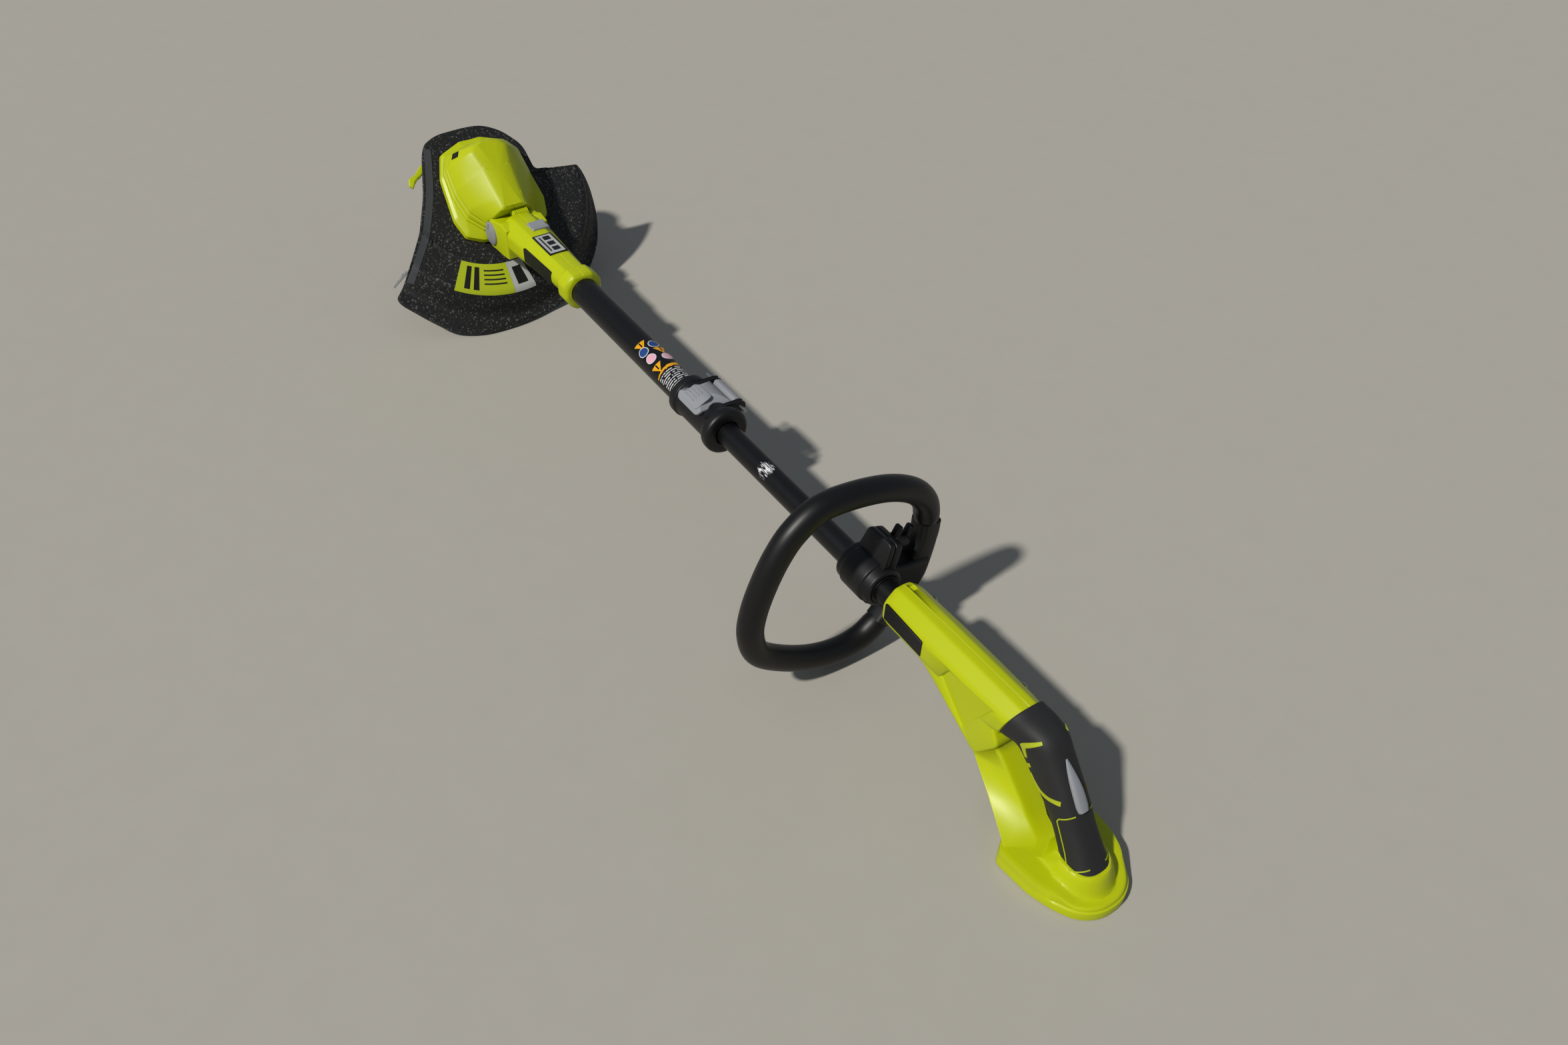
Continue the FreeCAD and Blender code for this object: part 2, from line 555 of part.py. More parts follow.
def coupler_lever():
    """Half-round flip lever: it closes over the coupler and turns on a pin beside it."""
    start = "(coupler_rear + bell_length + 14)"
    body = part_body("coupler_lever", SHAFT)
    ring = circles(body, "YZ_Plane", [("0", "0", "coupler_radius + 1.2 + lever_wall"),
                                      ("0", "0", "coupler_radius + 1.2")], start)
    pad(body, ring, "coupler_lever_length")
    away = [("-44", "-44"), ("44", "-44"), ("44", "-7"), ("8", "-7"), ("-12", "9"), ("-44", "11")]
    pocket(body, polygon(body, "YZ_Plane", away, start + " - 1"), "coupler_lever_length + 2", back=True)
    pad(body, circles(body, "YZ_Plane", [("hinge_y", "hinge_z", "4.6")], start), "coupler_lever_length")
    crest = [("-9", "coupler_radius + 4"), ("9", "coupler_radius + 4"), ("8", "coupler_radius + 7.5"),
             ("-8", "coupler_radius + 7.5")]
    pad(body, polygon(body, "YZ_Plane", crest, start + " + 8"), "coupler_lever_length - 16")
    hole = circles(body, "YZ_Plane", [("hinge_y", "hinge_z", "pin_radius + run_gap")], start + " - 1")
    pocket(body, hole, "coupler_lever_length + 2", back=True)
    node = DOC.addObject("Part::Cylinder", "coupler_pin")
    node.Label = "coupler_pin"
    node.setExpression("Radius", bound("pin_radius"))
    node.setExpression("Height", bound("coupler_lever_length + 14"))
    lie = FreeCAD.Placement(V(val(start + " - 7"), val("hinge_y"), val("hinge_z")),
                            FreeCAD.Rotation(V(0, 1, 0), 90))
    node.Placement = SHAFT.multiply(lie)


def socket_housing():
    """Left half of the housing that holds the lower tube and carries the pivot ears."""
    body = part_body("socket_housing_left", SHAFT)
    collar = half_ring("collar_half", "collar_half", "collar_half", "collar_half * 0.45")
    pad(body, polygon(body, "YZ_Plane", collar, "collar_rear"), "collar_length")
    first = polygon(body, "YZ_Plane", half_ring("neck_half_rear", "neck_top + 3", "neck_half_rear",
                                                "8"), "collar_rear + collar_length")
    last = polygon(body, "YZ_Plane", half_ring("neck_half_front", "neck_top", "neck_bottom", "8"),
                   "neck_end")
    loft(body, first, last)
    arm = [("neck_end - 12", "neck_top - 6"), ("pivot_reach", "ear_radius - pivot_drop"),
           ("pivot_reach", "-pivot_drop - ear_radius"), ("neck_end - 12", "-neck_bottom + 6")]
    pad(body, polygon(body, "XZ_Plane", arm, "-ear_inner"), "ear_outer - ear_inner",
        back=True)
    disc = circles(body, "XZ_Plane", [("pivot_reach", "-pivot_drop", "ear_radius")],
                   "-ear_inner")
    pad(body, disc, "ear_outer - ear_inner", back=True)
    bore = circles(body, "YZ_Plane", [("0", "0", "lower_tube_radius")], "collar_rear")
    pocket(body, bore, "lower_tube_end - collar_rear", back=True)
    way = circles(body, "YZ_Plane", [("0", "-4", "9")], "lower_tube_end - 1")
    pocket(body, way, "neck_end - lower_tube_end + 2", back=True)
    slot = [("button_start - 6", "-1"), ("button_start + button_length + part_gap", "-1"),
            ("button_start + button_length + part_gap", "button_half_width + part_gap"),
            ("button_start - 6", "button_half_width + part_gap")]
    pocket(body, polygon(body, "XY_Plane", slot, "neck_top + 6"), "12")
    axle = circles(body, "XZ_Plane", [("pivot_reach", "-pivot_drop", "axle_radius")],
                   "1 - ear_inner")
    pocket(body, axle, "ear_outer - ear_inner + 2")
    return body


def pivot():
    """Axle through both ears, and a round cap over each end."""
    cross_pin("pivot_axle", SHAFT, "pivot_reach", "-pivot_drop", "ear_outer", "axle_radius")
    for name, side in SIDES:
        cap = part_body("pivot_cap_" + name, moved(SHAFT, val("pivot_reach"), 0, -val("pivot_drop")))
        disc = circles(cap, "XZ_Plane", [("0", "0", "cap_radius")], "%d * ear_outer" % -side)
        pad(cap, disc, "cap_height - 1.5", back=side > 0)
        crown = circles(cap, "XZ_Plane", [("0", "0", "cap_radius - 3")],
                        "%d * (ear_outer + cap_height - 1.5)" % -side)
        pad(cap, crown, "1.5", back=side > 0)


def lock_button():
    """Sliding button on top of the socket housing, with a scooped thumb rest."""
    body = part_body("lock_button", SHAFT)
    side = [("button_start", "neck_top - 5.6"), ("button_start + button_length", "neck_top - 5.6"),
            ("button_start + button_length", "neck_top + 4"), ("button_start + 30", "neck_top + 2"),
            ("button_start + 10", "neck_top + 2"), ("button_start", "neck_top + 3.5")]
    pad(body, polygon(body, "XZ_Plane", side), "2 * button_half_width", middle=True)
    return body


def dome_outline(rear, front, half, bevel):
    """Left half of an eight-sided outline in x and y."""
    inner = "%s - %s" % (half, bevel)
    return [(rear, "0"), (rear, inner), ("%s + %s" % (rear, bevel), half),
            ("%s - %s" % (front, bevel), half), (front, inner), (front, "0")]


def motor_housing():
    """Left half of the motor housing: base flange, dome and the pivot barrel between the ears."""
    body = part_body("motor_housing_left", HEAD)
    flange = [("0", "0"), ("base_radius", "0"), ("base_radius", "base_height - 3"),
              ("base_radius - 4", "base_height"), ("0", "base_height")]
    turned(body, polygon(body, "XZ_Plane", flange), 180, "V_Axis")
    first = polygon(body, "XY_Plane", dome_outline("-60", "56", "dome_half_base", "26"),
                    "base_height")
    last = polygon(body, "XY_Plane", dome_outline("-56", "36", "dome_half_top", "14"),
                   "dome_height")
    loft(body, first, last)
    barrel = circles(body, "XZ_Plane", [("-head_reach", "head_drop", "barrel_radius")])
    pad(body, barrel, "ear_inner - part_gap", back=True)
    bridge = [("-head_reach", "head_drop - barrel_radius"), ("-40", "head_drop - barrel_radius"),
              ("-40", "head_drop + barrel_radius"), ("-head_reach", "head_drop + barrel_radius")]
    pad(body, polygon(body, "XZ_Plane", bridge), "ear_inner - part_gap", back=True)
    recess = circles(body, "XZ_Plane", [("-head_reach", "head_drop", "ear_radius + free_gap")],
                     "part_gap - ear_inner")
    pocket(body, recess, "60")
    can = circles(body, "XY_Plane", [("0", "0", "can_radius")], "can_bottom")
    pocket(body, can, "dome_height - can_bottom - 2.5", back=True)
    hole = circles(body, "XY_Plane", [("0", "0", "motor_shaft_radius + 2")], "-1")
    pocket(body, hole, "can_bottom + 2", back=True)
    axle = circles(body, "XZ_Plane", [("-head_reach", "head_drop", "axle_radius + run_gap")])
    pocket(body, axle, "ear_inner")
    return body


def motor():
    """Motor can, its shaft and the cooling fan above it."""
    can = turned_body("motor_can", HEAD,
                      [("motor_shaft_radius + run_gap", "can_bottom"), ("can_radius", "can_bottom"),
                       ("can_radius", "can_bottom + can_length"),
                       ("motor_shaft_radius + run_gap", "can_bottom + can_length")], "V_Axis")
    turned_body("motor_shaft", HEAD, [("0", "head_bottom + 2"), ("motor_shaft_radius", "head_bottom + 2"),
                                      ("motor_shaft_radius", "dome_height - 4"),
                                      ("0", "dome_height - 4")], "V_Axis")
    fan = part_body("cooling_fan", HEAD)
    level = "can_bottom + can_length + 1"
    pad(fan, circles(fan, "XY_Plane", [("0", "0", "can_radius - 5"), ("0", "0", "motor_shaft_radius")],
                     level), "1.2")
    for turn in range(7):
        blade = FreeCAD.Placement(V(0, 0, val(level)), FreeCAD.Rotation(V(0, 0, 1), turn * 360 / 7))
        vane = [("8", "-0.6"), ("can_radius - 5.5", "-0.6"), ("can_radius - 5.5", "0.6"), ("8", "0.6")]
        pad(fan, polygon(fan, "XY_Plane", vane, blade), "5")
    return can


def guard():
    """Fan-shaped guard: flat top, flared skirt round the rear and an open front."""
    frame = moved(HEAD, val("guard_shift_x"), val("guard_shift_y"), 0)
    body = part_body("guard", frame)
    start = FreeCAD.Placement(V(0, 0, 0), FreeCAD.Rotation(V(0, 1, 0), 180 - val("guard_left_turn")))
    low = "-guard_drop - guard_lip"
    skirt = [("60", "-guard_wall"), ("guard_flat - 1.5", "-guard_wall"),
             ("guard_radius - guard_wall - 1", "-guard_drop"), ("guard_radius - guard_wall", low),
             ("guard_radius", low), ("guard_radius - 1", "-guard_drop + 1"), ("guard_flat", "0"),
             ("60", "0")]
    sweep = turned(body, polygon(body, "XZ_Plane", skirt, start), 0, "V_Axis")
    sweep.setExpression("Angle", bound("guard_left_turn + guard_right_turn"))
    centre = ("-guard_shift_x", "-guard_shift_y")
    plate = circles(body, "XY_Plane", [centre + ("guard_front",), centre + ("guard_hole",)],
                    "-guard_wall")
    pad(body, plate, "guard_wall")
    wedge = [("-guard_shift_x + 40", "-guard_shift_y + 40"),
             ("-guard_shift_x + 8", "guard_front - guard_shift_y"),
             ("-guard_flat * 0.5", "guard_flat * 0.866"), ("-guard_flat * 0.42", "guard_flat * 0.2")]
    pad(body, polygon(body, "XY_Plane", wedge, "-guard_wall"), "guard_wall")
    return body


def guard_fittings():
    """Screws that hold the guard, the line cutter at its left end, and its label."""
    screws = []
    for turn in (70, 190, 310):
        x, y = 54 * math.cos(math.radians(turn)), 54 * math.sin(math.radians(turn))
        screws.append(rod(4, V(x, y, -val("guard_wall") - 2.4), V(0, 0, 1), 2.4))
    group_of("guard_screws", screws, HEAD)
    frame = moved(HEAD, val("guard_shift_x"), val("guard_shift_y"), 0)
    turn = FreeCAD.Rotation(V(0, 0, 1), 180 - val("guard_left_turn"))
    edge = frame.multiply(FreeCAD.Placement(V(0, 0, 0), turn))
    blade = part_body("line_cutter", edge)
    side = [("guard_radius - 30", "-guard_drop - 5"), ("guard_radius - 1", "-guard_drop - 5"),
            ("guard_radius - 1", "-guard_drop + 4"), ("guard_radius - 22", "-guard_drop + 14")]
    pad(blade, polygon(blade, "XZ_Plane", side), "1.6")
    heads = [rod(2.2, V(val("guard_radius") - x, -1.6, -val("guard_drop") + z), V(0, -1, 0), 1.2)
             for x, z in ((9, -1), (17, 6))]
    group_of("cutter_screws", heads, edge)
    label = part_body("guard_label", frame)
    tilt = FreeCAD.Placement(V(0, 0, 0), FreeCAD.Rotation(V(0, 1, 0), 146))
    strip = [("guard_flat - 36", "0"), ("guard_flat - 4", "0"), ("guard_flat - 4", "0.3"),
             ("guard_flat - 36", "0.3")]
    turned(label, polygon(label, "XZ_Plane", strip, tilt), 60, "V_Axis")


def string_head():
    """Line head: base on the motor shaft, spool inside, cover below, eyelets and two line ends."""
    post = "post_radius"
    base = turned_body("head_base", HEAD,
                       [("motor_shaft_radius", "head_top"), ("head_radius", "head_top"),
                        ("head_radius", "head_bottom"), ("head_radius - head_wall", "head_bottom"),
                        ("head_radius - head_wall", "head_top - 5"), (post, "head_top - 5"),
                        (post, "head_bottom + 2"), ("motor_shaft_radius", "head_bottom + 2")], "V_Axis")
    for side in (1, -1):
        eye = circles(base, "XZ_Plane", [("0", "line_level", "3")],
                      "%d * (head_radius - head_wall - 1)" % -side)
        pocket(base, eye, "head_wall + 2", back=side < 0)
    turned_body("line_spool", HEAD,
                [(post + " + run_gap", "head_top - 6"), ("head_radius - 6", "head_top - 6"),
                 ("head_radius - 6", "head_top - 9"), ("spool_core", "head_top - 9"),
                 ("spool_core", "head_bottom + 5"), ("head_radius - 6", "head_bottom + 5"),
                 ("head_radius - 6", "head_bottom + 2"), (post + " + run_gap", "head_bottom + 2")],
                "V_Axis")
    turned_body("head_cover", HEAD,
                [("0", "head_bottom - cover_depth"), ("head_radius - 12", "head_bottom - cover_depth"),
                 ("head_radius", "head_bottom - cover_depth + 8"), ("head_radius", "head_bottom"),
                 ("head_radius - head_wall", "head_bottom"),
                 ("head_radius - head_wall", "head_bottom - 1.5"), ("0", "head_bottom - 1.5")], "V_Axis")
    level, wall = val("line_level"), val("head_wall")
    radius, line = val("head_radius"), val("line_radius")
    line_reach = val("guard_radius - guard_shift_y - guard_wall - line_gap")
    eyes, ends = [], []
    for side in (1, -1):
        along = V(0, side, 0)
        outer = rod(3, V(0, side * (radius - wall), level), along, wall + 2)
        eyes.append(outer.cut(rod(line + 0.1, V(0, side * (radius - wall - 1), level), along, wall + 4)))
        ends.append(rod(line, V(0, side * (radius - wall), level), along,
                        line_reach - radius + wall))
    group_of("line_eyelets", eyes, HEAD)
    group_of("cutting_line", ends, HEAD)


def edge_guide():
    """Swinging edge guide under the front left of the guard."""
    body = part_body("edge_guide", moved(HEAD, 50, 60, 0))
    level = "-guard_wall - part_gap - 11"
    arm = [("-6", "-3"), ("6", "-3"), ("9", "24"), ("-8", "49"), ("-36", "64"), ("-40", "57"),
           ("-15", "42"), ("-2", "22")]
    pad(body, polygon(body, "XY_Plane", arm, level), "6")
    pad(body, circles(body, "XY_Plane", [("0", "0", "6.5")], level), "11")
    return body


def badges():
    """Plain black badges and the picture label on the housings."""
    face = val("barrel_half_width")
    badge = Part.makeBox(52, 0.6, 18, V(val("mouth_reach") - 65, face, -8))
    shape_node("housing_badge", badge, SHAFT)
    rise = math.degrees(math.atan2(val("neck_half_front - neck_half_rear"),
                                   val("neck_end - collar_rear - collar_length")))
    start = V(val("collar_rear + collar_length") + 10, val("neck_half_rear"), -7)
    start.y += 10 * math.tan(math.radians(rise))
    lean = FreeCAD.Placement(start, FreeCAD.Rotation(V(0, 0, 1), rise))
    shape_node("socket_badge", Part.makeBox(58, 0.6, 15, V(0, 0, 0)), SHAFT.multiply(lean))


def housing_screws():
    """Screws that hold the shell halves together, with their heads on the right side."""
    heads = []
    for s, z in ((100, 12), (220, 12), (150, -12)):
        heads.append(rod(3, SHAFT.multVec(V(s, -val("barrel_half_width"), z)), V(0, -1, 0), 1.2))
    group_of("housing_screws", heads, WORLD)
    neck = [rod(2.6, V(s, -val("collar_half"), z), V(0, -1, 0), 1.2)
            for s, z in ((857, 0),)]
    group_of("socket_screws", neck, SHAFT)


def check_and_write():
    """Every object is up to date and every sub-part is a valid, closed shape before it is written."""
    DOC.recompute()
    for item in DOC.Objects:
        if "Invalid" in item.State or "Error" in item.State:
            raise RuntimeError("%s is %s" % (item.Label, item.State))
    nodes = [o for o in DOC.Objects if o.isDerivedFrom("Part::Feature") and is_node(o)]
    os.makedirs("parts", exist_ok=True)
    for node in nodes:
        if node.Shape.isNull() or not node.Shape.isValid() or not node.Shape.Solids:
            raise RuntimeError("%s has no valid solid" % node.Label)
        node.Shape.exportStep(os.path.join("parts", node.Label + ".step"))
        box = node.Shape.BoundBox
        print("%-22s solids %d  volume %9.0f  z %.1f to %.1f" % (
            node.Label, len(node.Shape.Solids), node.Shape.Volume, box.ZMin, box.ZMax))


def is_node(item):
    """Bodies and loose shapes are nodes; features inside a body are not."""
    if item.TypeId == "PartDesign::Body":
        return True
    return item.TypeId.startswith("Part::") and item.getParentGeoFeatureGroup() is None


for LEFT_HALF in (rear_housing(), grip_rubber(), socket_housing(), motor_housing()):
    right_half(LEFT_HALF)
trigger()
lock_lever()
grip_inside()
tubes()
loop_handle()
wing_knob()
coupler()
coupler_lever()
pivot()
lock_button()
motor()
guard()
guard_fittings()
string_head()
edge_guide()
badges()
housing_screws()
check_and_write()
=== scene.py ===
"""Battery string trimmer standing on its battery foot and on the rim of its guard."""
import json
import math

import bmesh
import bpy
import numpy as np
from mathutils import Matrix, Vector


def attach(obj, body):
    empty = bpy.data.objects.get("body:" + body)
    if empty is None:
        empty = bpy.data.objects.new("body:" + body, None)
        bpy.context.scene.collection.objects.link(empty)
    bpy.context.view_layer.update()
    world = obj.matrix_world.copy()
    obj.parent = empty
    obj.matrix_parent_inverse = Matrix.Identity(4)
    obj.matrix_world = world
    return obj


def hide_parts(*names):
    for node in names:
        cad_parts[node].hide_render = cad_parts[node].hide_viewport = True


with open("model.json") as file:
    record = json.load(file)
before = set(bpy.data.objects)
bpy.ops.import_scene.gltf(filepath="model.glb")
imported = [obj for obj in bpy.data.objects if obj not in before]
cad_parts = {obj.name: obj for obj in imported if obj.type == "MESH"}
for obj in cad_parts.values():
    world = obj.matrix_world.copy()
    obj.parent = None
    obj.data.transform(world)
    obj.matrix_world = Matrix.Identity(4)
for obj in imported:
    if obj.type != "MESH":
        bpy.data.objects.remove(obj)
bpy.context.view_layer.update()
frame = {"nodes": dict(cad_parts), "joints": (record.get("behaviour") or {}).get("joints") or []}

# ---- Camera -------------------------------------------------------------------------------
# A phone-like wide lens about 1.2 m up, behind and to the left of the rear grip,
# looking down the shaft to the cutting head.
camera_place = np.array([-0.374, 0.577, 0.958])
heading, pitch, roll = math.radians(-35.83), math.radians(42.1), math.radians(-2.18)
lens = bpy.data.cameras.new("camera")
lens.lens, lens.sensor_width, lens.clip_start = 30.06, 36.0, 0.01
camera = bpy.data.objects.new("camera", lens)
bpy.context.scene.collection.objects.link(camera)
flat = np.array([math.cos(heading), math.sin(heading), 0.0])
view = math.cos(pitch) * flat - math.sin(pitch) * np.array([0.0, 0.0, 1.0])
across = np.cross(flat, [0.0, 0.0, 1.0])
down = np.cross(view, across)
right = across * math.cos(roll) + down * math.sin(roll)
up = np.cross(right, view)
camera.matrix_world = Matrix([[right[i], up[i], -view[i], camera_place[i]] for i in range(3)]
                             + [[0, 0, 0, 1]])
bpy.context.scene.camera = camera

# ---- Shaft tubes --------------------------------------------------------------------------
# Two drawn aluminium tubes, the rear one 25.4 mm and the front one 34 mm, powder-coated satin
# black. The thin one slides in the thick one; it has white scuffs where it met a painted wall.
MM = 0.001
joints = {j["name"]: j for j in frame["joints"]}
along = np.array(joints["shaft_telescope"]["axis"])
side = np.array([0.0, 1.0, 0.0])
above = np.cross(along, side)


def frame_at(origin, ex, ez):
    """A local frame in millimetres: its origin, and rows that are its x, y and z directions."""
    ex, ez = np.asarray(ex, float), np.asarray(ez, float)
    return np.asarray(origin, float) / MM, np.stack([ex, np.cross(ez, ex), ez])


def placed(points, where):
    """Local points in mm carried to world mm: origin plus each coordinate times its direction."""
    return np.asarray(points, float) @ where[1] + where[0]


hub_point = np.array(joints["loop_turn"]["pos_m"])
SHAFT = frame_at(hub_point - along * 0.288, along, above)
WORLD = frame_at((0, 0, 0), (1, 0, 0), (0, 0, 1))


def linear(code):
    """sRGB hex text to a linear RGBA colour."""
    c = np.array([int(code[i:i + 2], 16) for i in (0, 2, 4)]) / 255.0
    c = np.where(c <= 0.04045, c / 12.92, ((c + 0.055) / 1.055) ** 2.4)
    return (*c.tolist(), 1.0)


def add(tree, kind, links=(), **settings):
    """One shader node: its attributes or inputs set by name, and links as (input, from socket)."""
    made = tree.nodes.new("ShaderNode" + kind)
    for key, value in settings.items():
        name = key.replace("_", " ")
        if hasattr(made, key):
            setattr(made, key, value)
        elif name.isdigit() or key.startswith("in"):
            made.inputs[int(key[2:])].default_value = value
        else:
            made.inputs[name].default_value = value
    for target, source in links:
        tree.links.new(source, made.inputs[target])
    return made


def moulded(name, colour, rough, grain_mm, depth, fleck=None, fleck_mm=2.0, fleck_share=0.5,
            shade=0.12, **sockets):
    """A surface with a fine moulded grain, slow colour variation and optional flecks or dust.

    Bump height is noise of the grain's size; the colour is the base mixed with a darker one by
    slow noise, then with the fleck colour where a finer noise passes its threshold."""
    made = bpy.data.materials.new(name)
    made.use_nodes = True
    tree = made.node_tree
    tree.nodes.clear()
    place = add(tree, "TexCoord").outputs["Object"]
    fine = add(tree, "TexNoise", [("Vector", place)], Scale=1000 / grain_mm, Detail=3.0)
    slow = add(tree, "TexNoise", [("Vector", place)], Scale=22.0, Detail=4.0, Roughness=0.6)
    base = np.array(linear(colour))
    dark = base * np.array([1 - shade] * 3 + [1])
    mix = add(tree, "MixRGB", [("Fac", slow.outputs["Fac"])], Color1=tuple(base), Color2=tuple(dark))
    tint = mix.outputs["Color"]
    if fleck:
        dots = add(tree, "TexNoise", [("Vector", place)], Scale=1000 / fleck_mm, Detail=5.0,
                   Roughness=0.7)
        ramp = add(tree, "ValToRGB", [("Fac", dots.outputs["Fac"])])
        ramp.color_ramp.elements[0].position = fleck_share
        ramp.color_ramp.elements[1].position = fleck_share + 0.06
        over = add(tree, "MixRGB", [("Fac", ramp.outputs["Color"]), ("Color1", tint)],
                   Color2=linear(fleck))
        tint = over.outputs["Color"]
    gloss = add(tree, "MapRange", [("Value", slow.outputs["Fac"])], in3=rough - 0.05, in4=rough + 0.07)
    bump = add(tree, "Bump", [("Height", fine.outputs["Fac"])], Strength=1.0, Distance=depth * MM)
    shader = add(tree, "BsdfPrincipled", [("Base Color", tint), ("Roughness", gloss.outputs[0]),
                                          ("Normal", bump.outputs["Normal"])])
    shader.inputs["Specular IOR Level"].default_value = 0.35
    for key, value in sockets.items():
        shader.inputs[key.replace("_", " ")].default_value = value
    add(tree, "OutputMaterial", [("Surface", shader.outputs[0])])
    return made


def dress(node, material):
    """Give a CAD node its finish."""
    data = frame["nodes"][node].data
    data.materials.clear()
    data.materials.append(material)


powder_coat = moulded("satin_black_powder_coat", "0A0A0C", 0.36, 0.5, 0.02, shade=0.3)
clean_coat = powder_coat.copy()
clean_coat.name = "satin_black_powder_coat_clean"
# white paint rubbed off on the coat: a streaky noise, kept to a patch 34 mm long on the upper left
tree = powder_coat.node_tree
shader = next(n for n in tree.nodes if n.type == "BSDF_PRINCIPLED")
spot = Vector(placed([452.0, 6.0, 11.0], SHAFT) * MM)
spot_map = add(tree, "Mapping", [("Vector", add(tree, "TexCoord").outputs["Object"])])
spot_map.inputs["Location"].default_value = -spot
reach = add(tree, "VectorMath", [(0, spot_map.outputs["Vector"])], operation="LENGTH")
near = add(tree, "MapRange", [("Value", reach.outputs["Value"])], in1=0.027, in2=0.007, in3=0.0, in4=1.0)
streak_map = add(tree, "Mapping", [("Vector", spot_map.outputs["Vector"])])
streak_map.inputs["Rotation"].default_value = (0.0, 0.0, 0.9)
streak_map.inputs["Scale"].default_value = (120.0, 700.0, 500.0)
streak = add(tree, "TexNoise", [("Vector", streak_map.outputs["Vector"])], Scale=1.0, Detail=6.0,
             Roughness=0.75)
both = add(tree, "Math", [(0, streak.outputs["Fac"]), (1, near.outputs[0])], operation="MULTIPLY")
cut = add(tree, "MapRange", [("Value", both.outputs[0])], in1=0.50, in2=0.54)
old = shader.inputs["Base Color"].links[0].from_socket
scuff = add(tree, "MixRGB", [("Fac", cut.outputs[0]), ("Color1", old)], Color2=linear("D8D9DC"))
tree.links.new(scuff.outputs["Color"], shader.inputs["Base Color"])
dress("upper_tube", powder_coat)
dress("lower_tube", clean_coat)
black_moulded = moulded("black_moulded_nylon", "101012", 0.45, 0.7, 0.05, shade=0.25)
dress("guide_bush", black_moulded)

# ---- Sticker on the front tube ------------------------------------------------------------
# A printed film round the tube in front of the coupler: blank warning triangles, round signs
# and a block of plain bars where the small print would be. It carries no lettering.
TUBE_R = 17.0


def skin(rings, cap=True, closed=True):
    """Rings of points, shape (rings, points, 3), joined ring to ring by quads.

    Each ring closes on itself if closed; with cap, a fan to each end ring's mean point."""
    m, n = rings.shape[:2]
    points = rings.reshape(-1, 3)
    i, j = np.meshgrid(np.arange(m - 1), np.arange(n if closed else n - 1), indexing="ij")
    a, b = (i * n + j).ravel(), (i * n + (j + 1) % n).ravel()
    faces = np.stack([a, b, b + n, a + n], 1).tolist()
    if cap:
        k, l = np.arange(n), (np.arange(n) + 1) % n
        top = (m - 1) * n
        points = np.concatenate([points, rings[0].mean(0)[None], rings[-1].mean(0)[None]])
        faces += np.stack([l, k, np.full(n, m * n)], 1).tolist()
        faces += np.stack([top + k, top + l, np.full(n, m * n + 1)], 1).tolist()
    return points, faces


def build(name, shells, where, solid=True):
    """One mesh object from shells of local points: outward normals, edges over 32 degrees sharp."""
    points, faces, start = [], [], 0
    for p, f in shells:
        points.append(p)
        faces += [[v + start for v in face] for face in f]
        start += len(p)
    points = placed(np.concatenate(points), where) * MM
    data = bpy.data.meshes.new(name)
    data.from_pydata(points.tolist(), [], faces)
    work = bmesh.new()
    work.from_mesh(data)
    bmesh.ops.remove_doubles(work, verts=work.verts, dist=1e-6)
    if solid:
        bmesh.ops.recalc_face_normals(work, faces=work.faces)
    work.to_mesh(data)
    work.free()
    data.polygons.foreach_set("use_smooth", np.ones(len(data.polygons), bool))
    data.set_sharp_from_angle(angle=math.radians(32))
    made = bpy.data.objects.new(name, data)
    bpy.context.scene.collection.objects.link(made)
    return made


def fit(made, body, slot, *materials, replaces=()):
    """The piece's finish, the body it rides on and the CAD nodes it stands for; the slot argument is not
    used.
    """
    for material in materials:
        made.data.materials.append(material)
    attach(made, body)
    if replaces:
        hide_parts(*replaces)
    return made


def on_tube(u, v, lift):
    """Point at u mm along the shaft and v mm round the tube from its top, lifted off it."""
    turn = v / TUBE_R
    r = TUBE_R + lift
    return np.stack([u, r * np.sin(turn), r * np.cos(turn)], -1)


def patch_on_tube(corners, lift, cuts=8):
    """A flat outline laid on the tube: its fan of rays is cut into rings and bent round."""
    corners = np.asarray(corners, float)
    fine = np.concatenate([corners + (np.roll(corners, -1, 0) - corners) * t
                           for t in np.arange(4)[:, None, None] / 4], 1).reshape(-1, 2)
    share = np.linspace(1, 0.02, cuts)[:, None, None]
    middle = fine.mean(0)
    grid = middle + (fine - middle) * share
    return skin(on_tube(grid[..., 0], grid[..., 1], lift), cap=False)


def ngon(u, v, r, sides, turn=0.0):
    """A regular polygon of radius r about (u, v)."""
    a = turn + np.arange(sides) * 2 * np.pi / sides
    return np.stack([u + r * np.cos(a), v + r * np.sin(a)], 1)


film = moulded("printed_vinyl_black", "0B0B0D", 0.33, 3.0, 0.01, shade=0.1)
yellow_ink = moulded("printed_vinyl_yellow", "E0A010", 0.35, 3.0, 0.01)
blue_ink = moulded("printed_vinyl_blue", "20407E", 0.35, 3.0, 0.01)
pink_ink = moulded("printed_vinyl_pink", "D9A3B4", 0.35, 3.0, 0.01)
white_ink = moulded("printed_vinyl_white", "C9C9CB", 0.4, 3.0, 0.01)
u, v = np.meshgrid(np.linspace(602, 724, 40), np.linspace(-12, 26, 30), indexing="ij")
warnings = ((697, 9), (678, -6), (655, 13))
blue_signs, pink_signs = ((686, 12), (690, -4)), ((671, 11), (663, -6))
shells = {"film": [skin(on_tube(u, v, 0.18), cap=False, closed=False)]}
shells["yellow"] = [patch_on_tube(ngon(*at, 8.5, 3, np.pi), 0.28) for at in warnings]
shells["inner"] = [patch_on_tube(ngon(*at, 6.2, 3, np.pi), 0.34) for at in warnings]
shells["mark"] = [patch_on_tube([(u - 4, v - 0.9), (u + 3.4, v - 0.9), (u + 3.4, v + 0.9),
                                 (u - 4, v + 0.9)], 0.4) for u, v in warnings]
shells["rim"] = [patch_on_tube(ngon(*at, 6.6, 20), 0.28) for at in blue_signs + pink_signs]
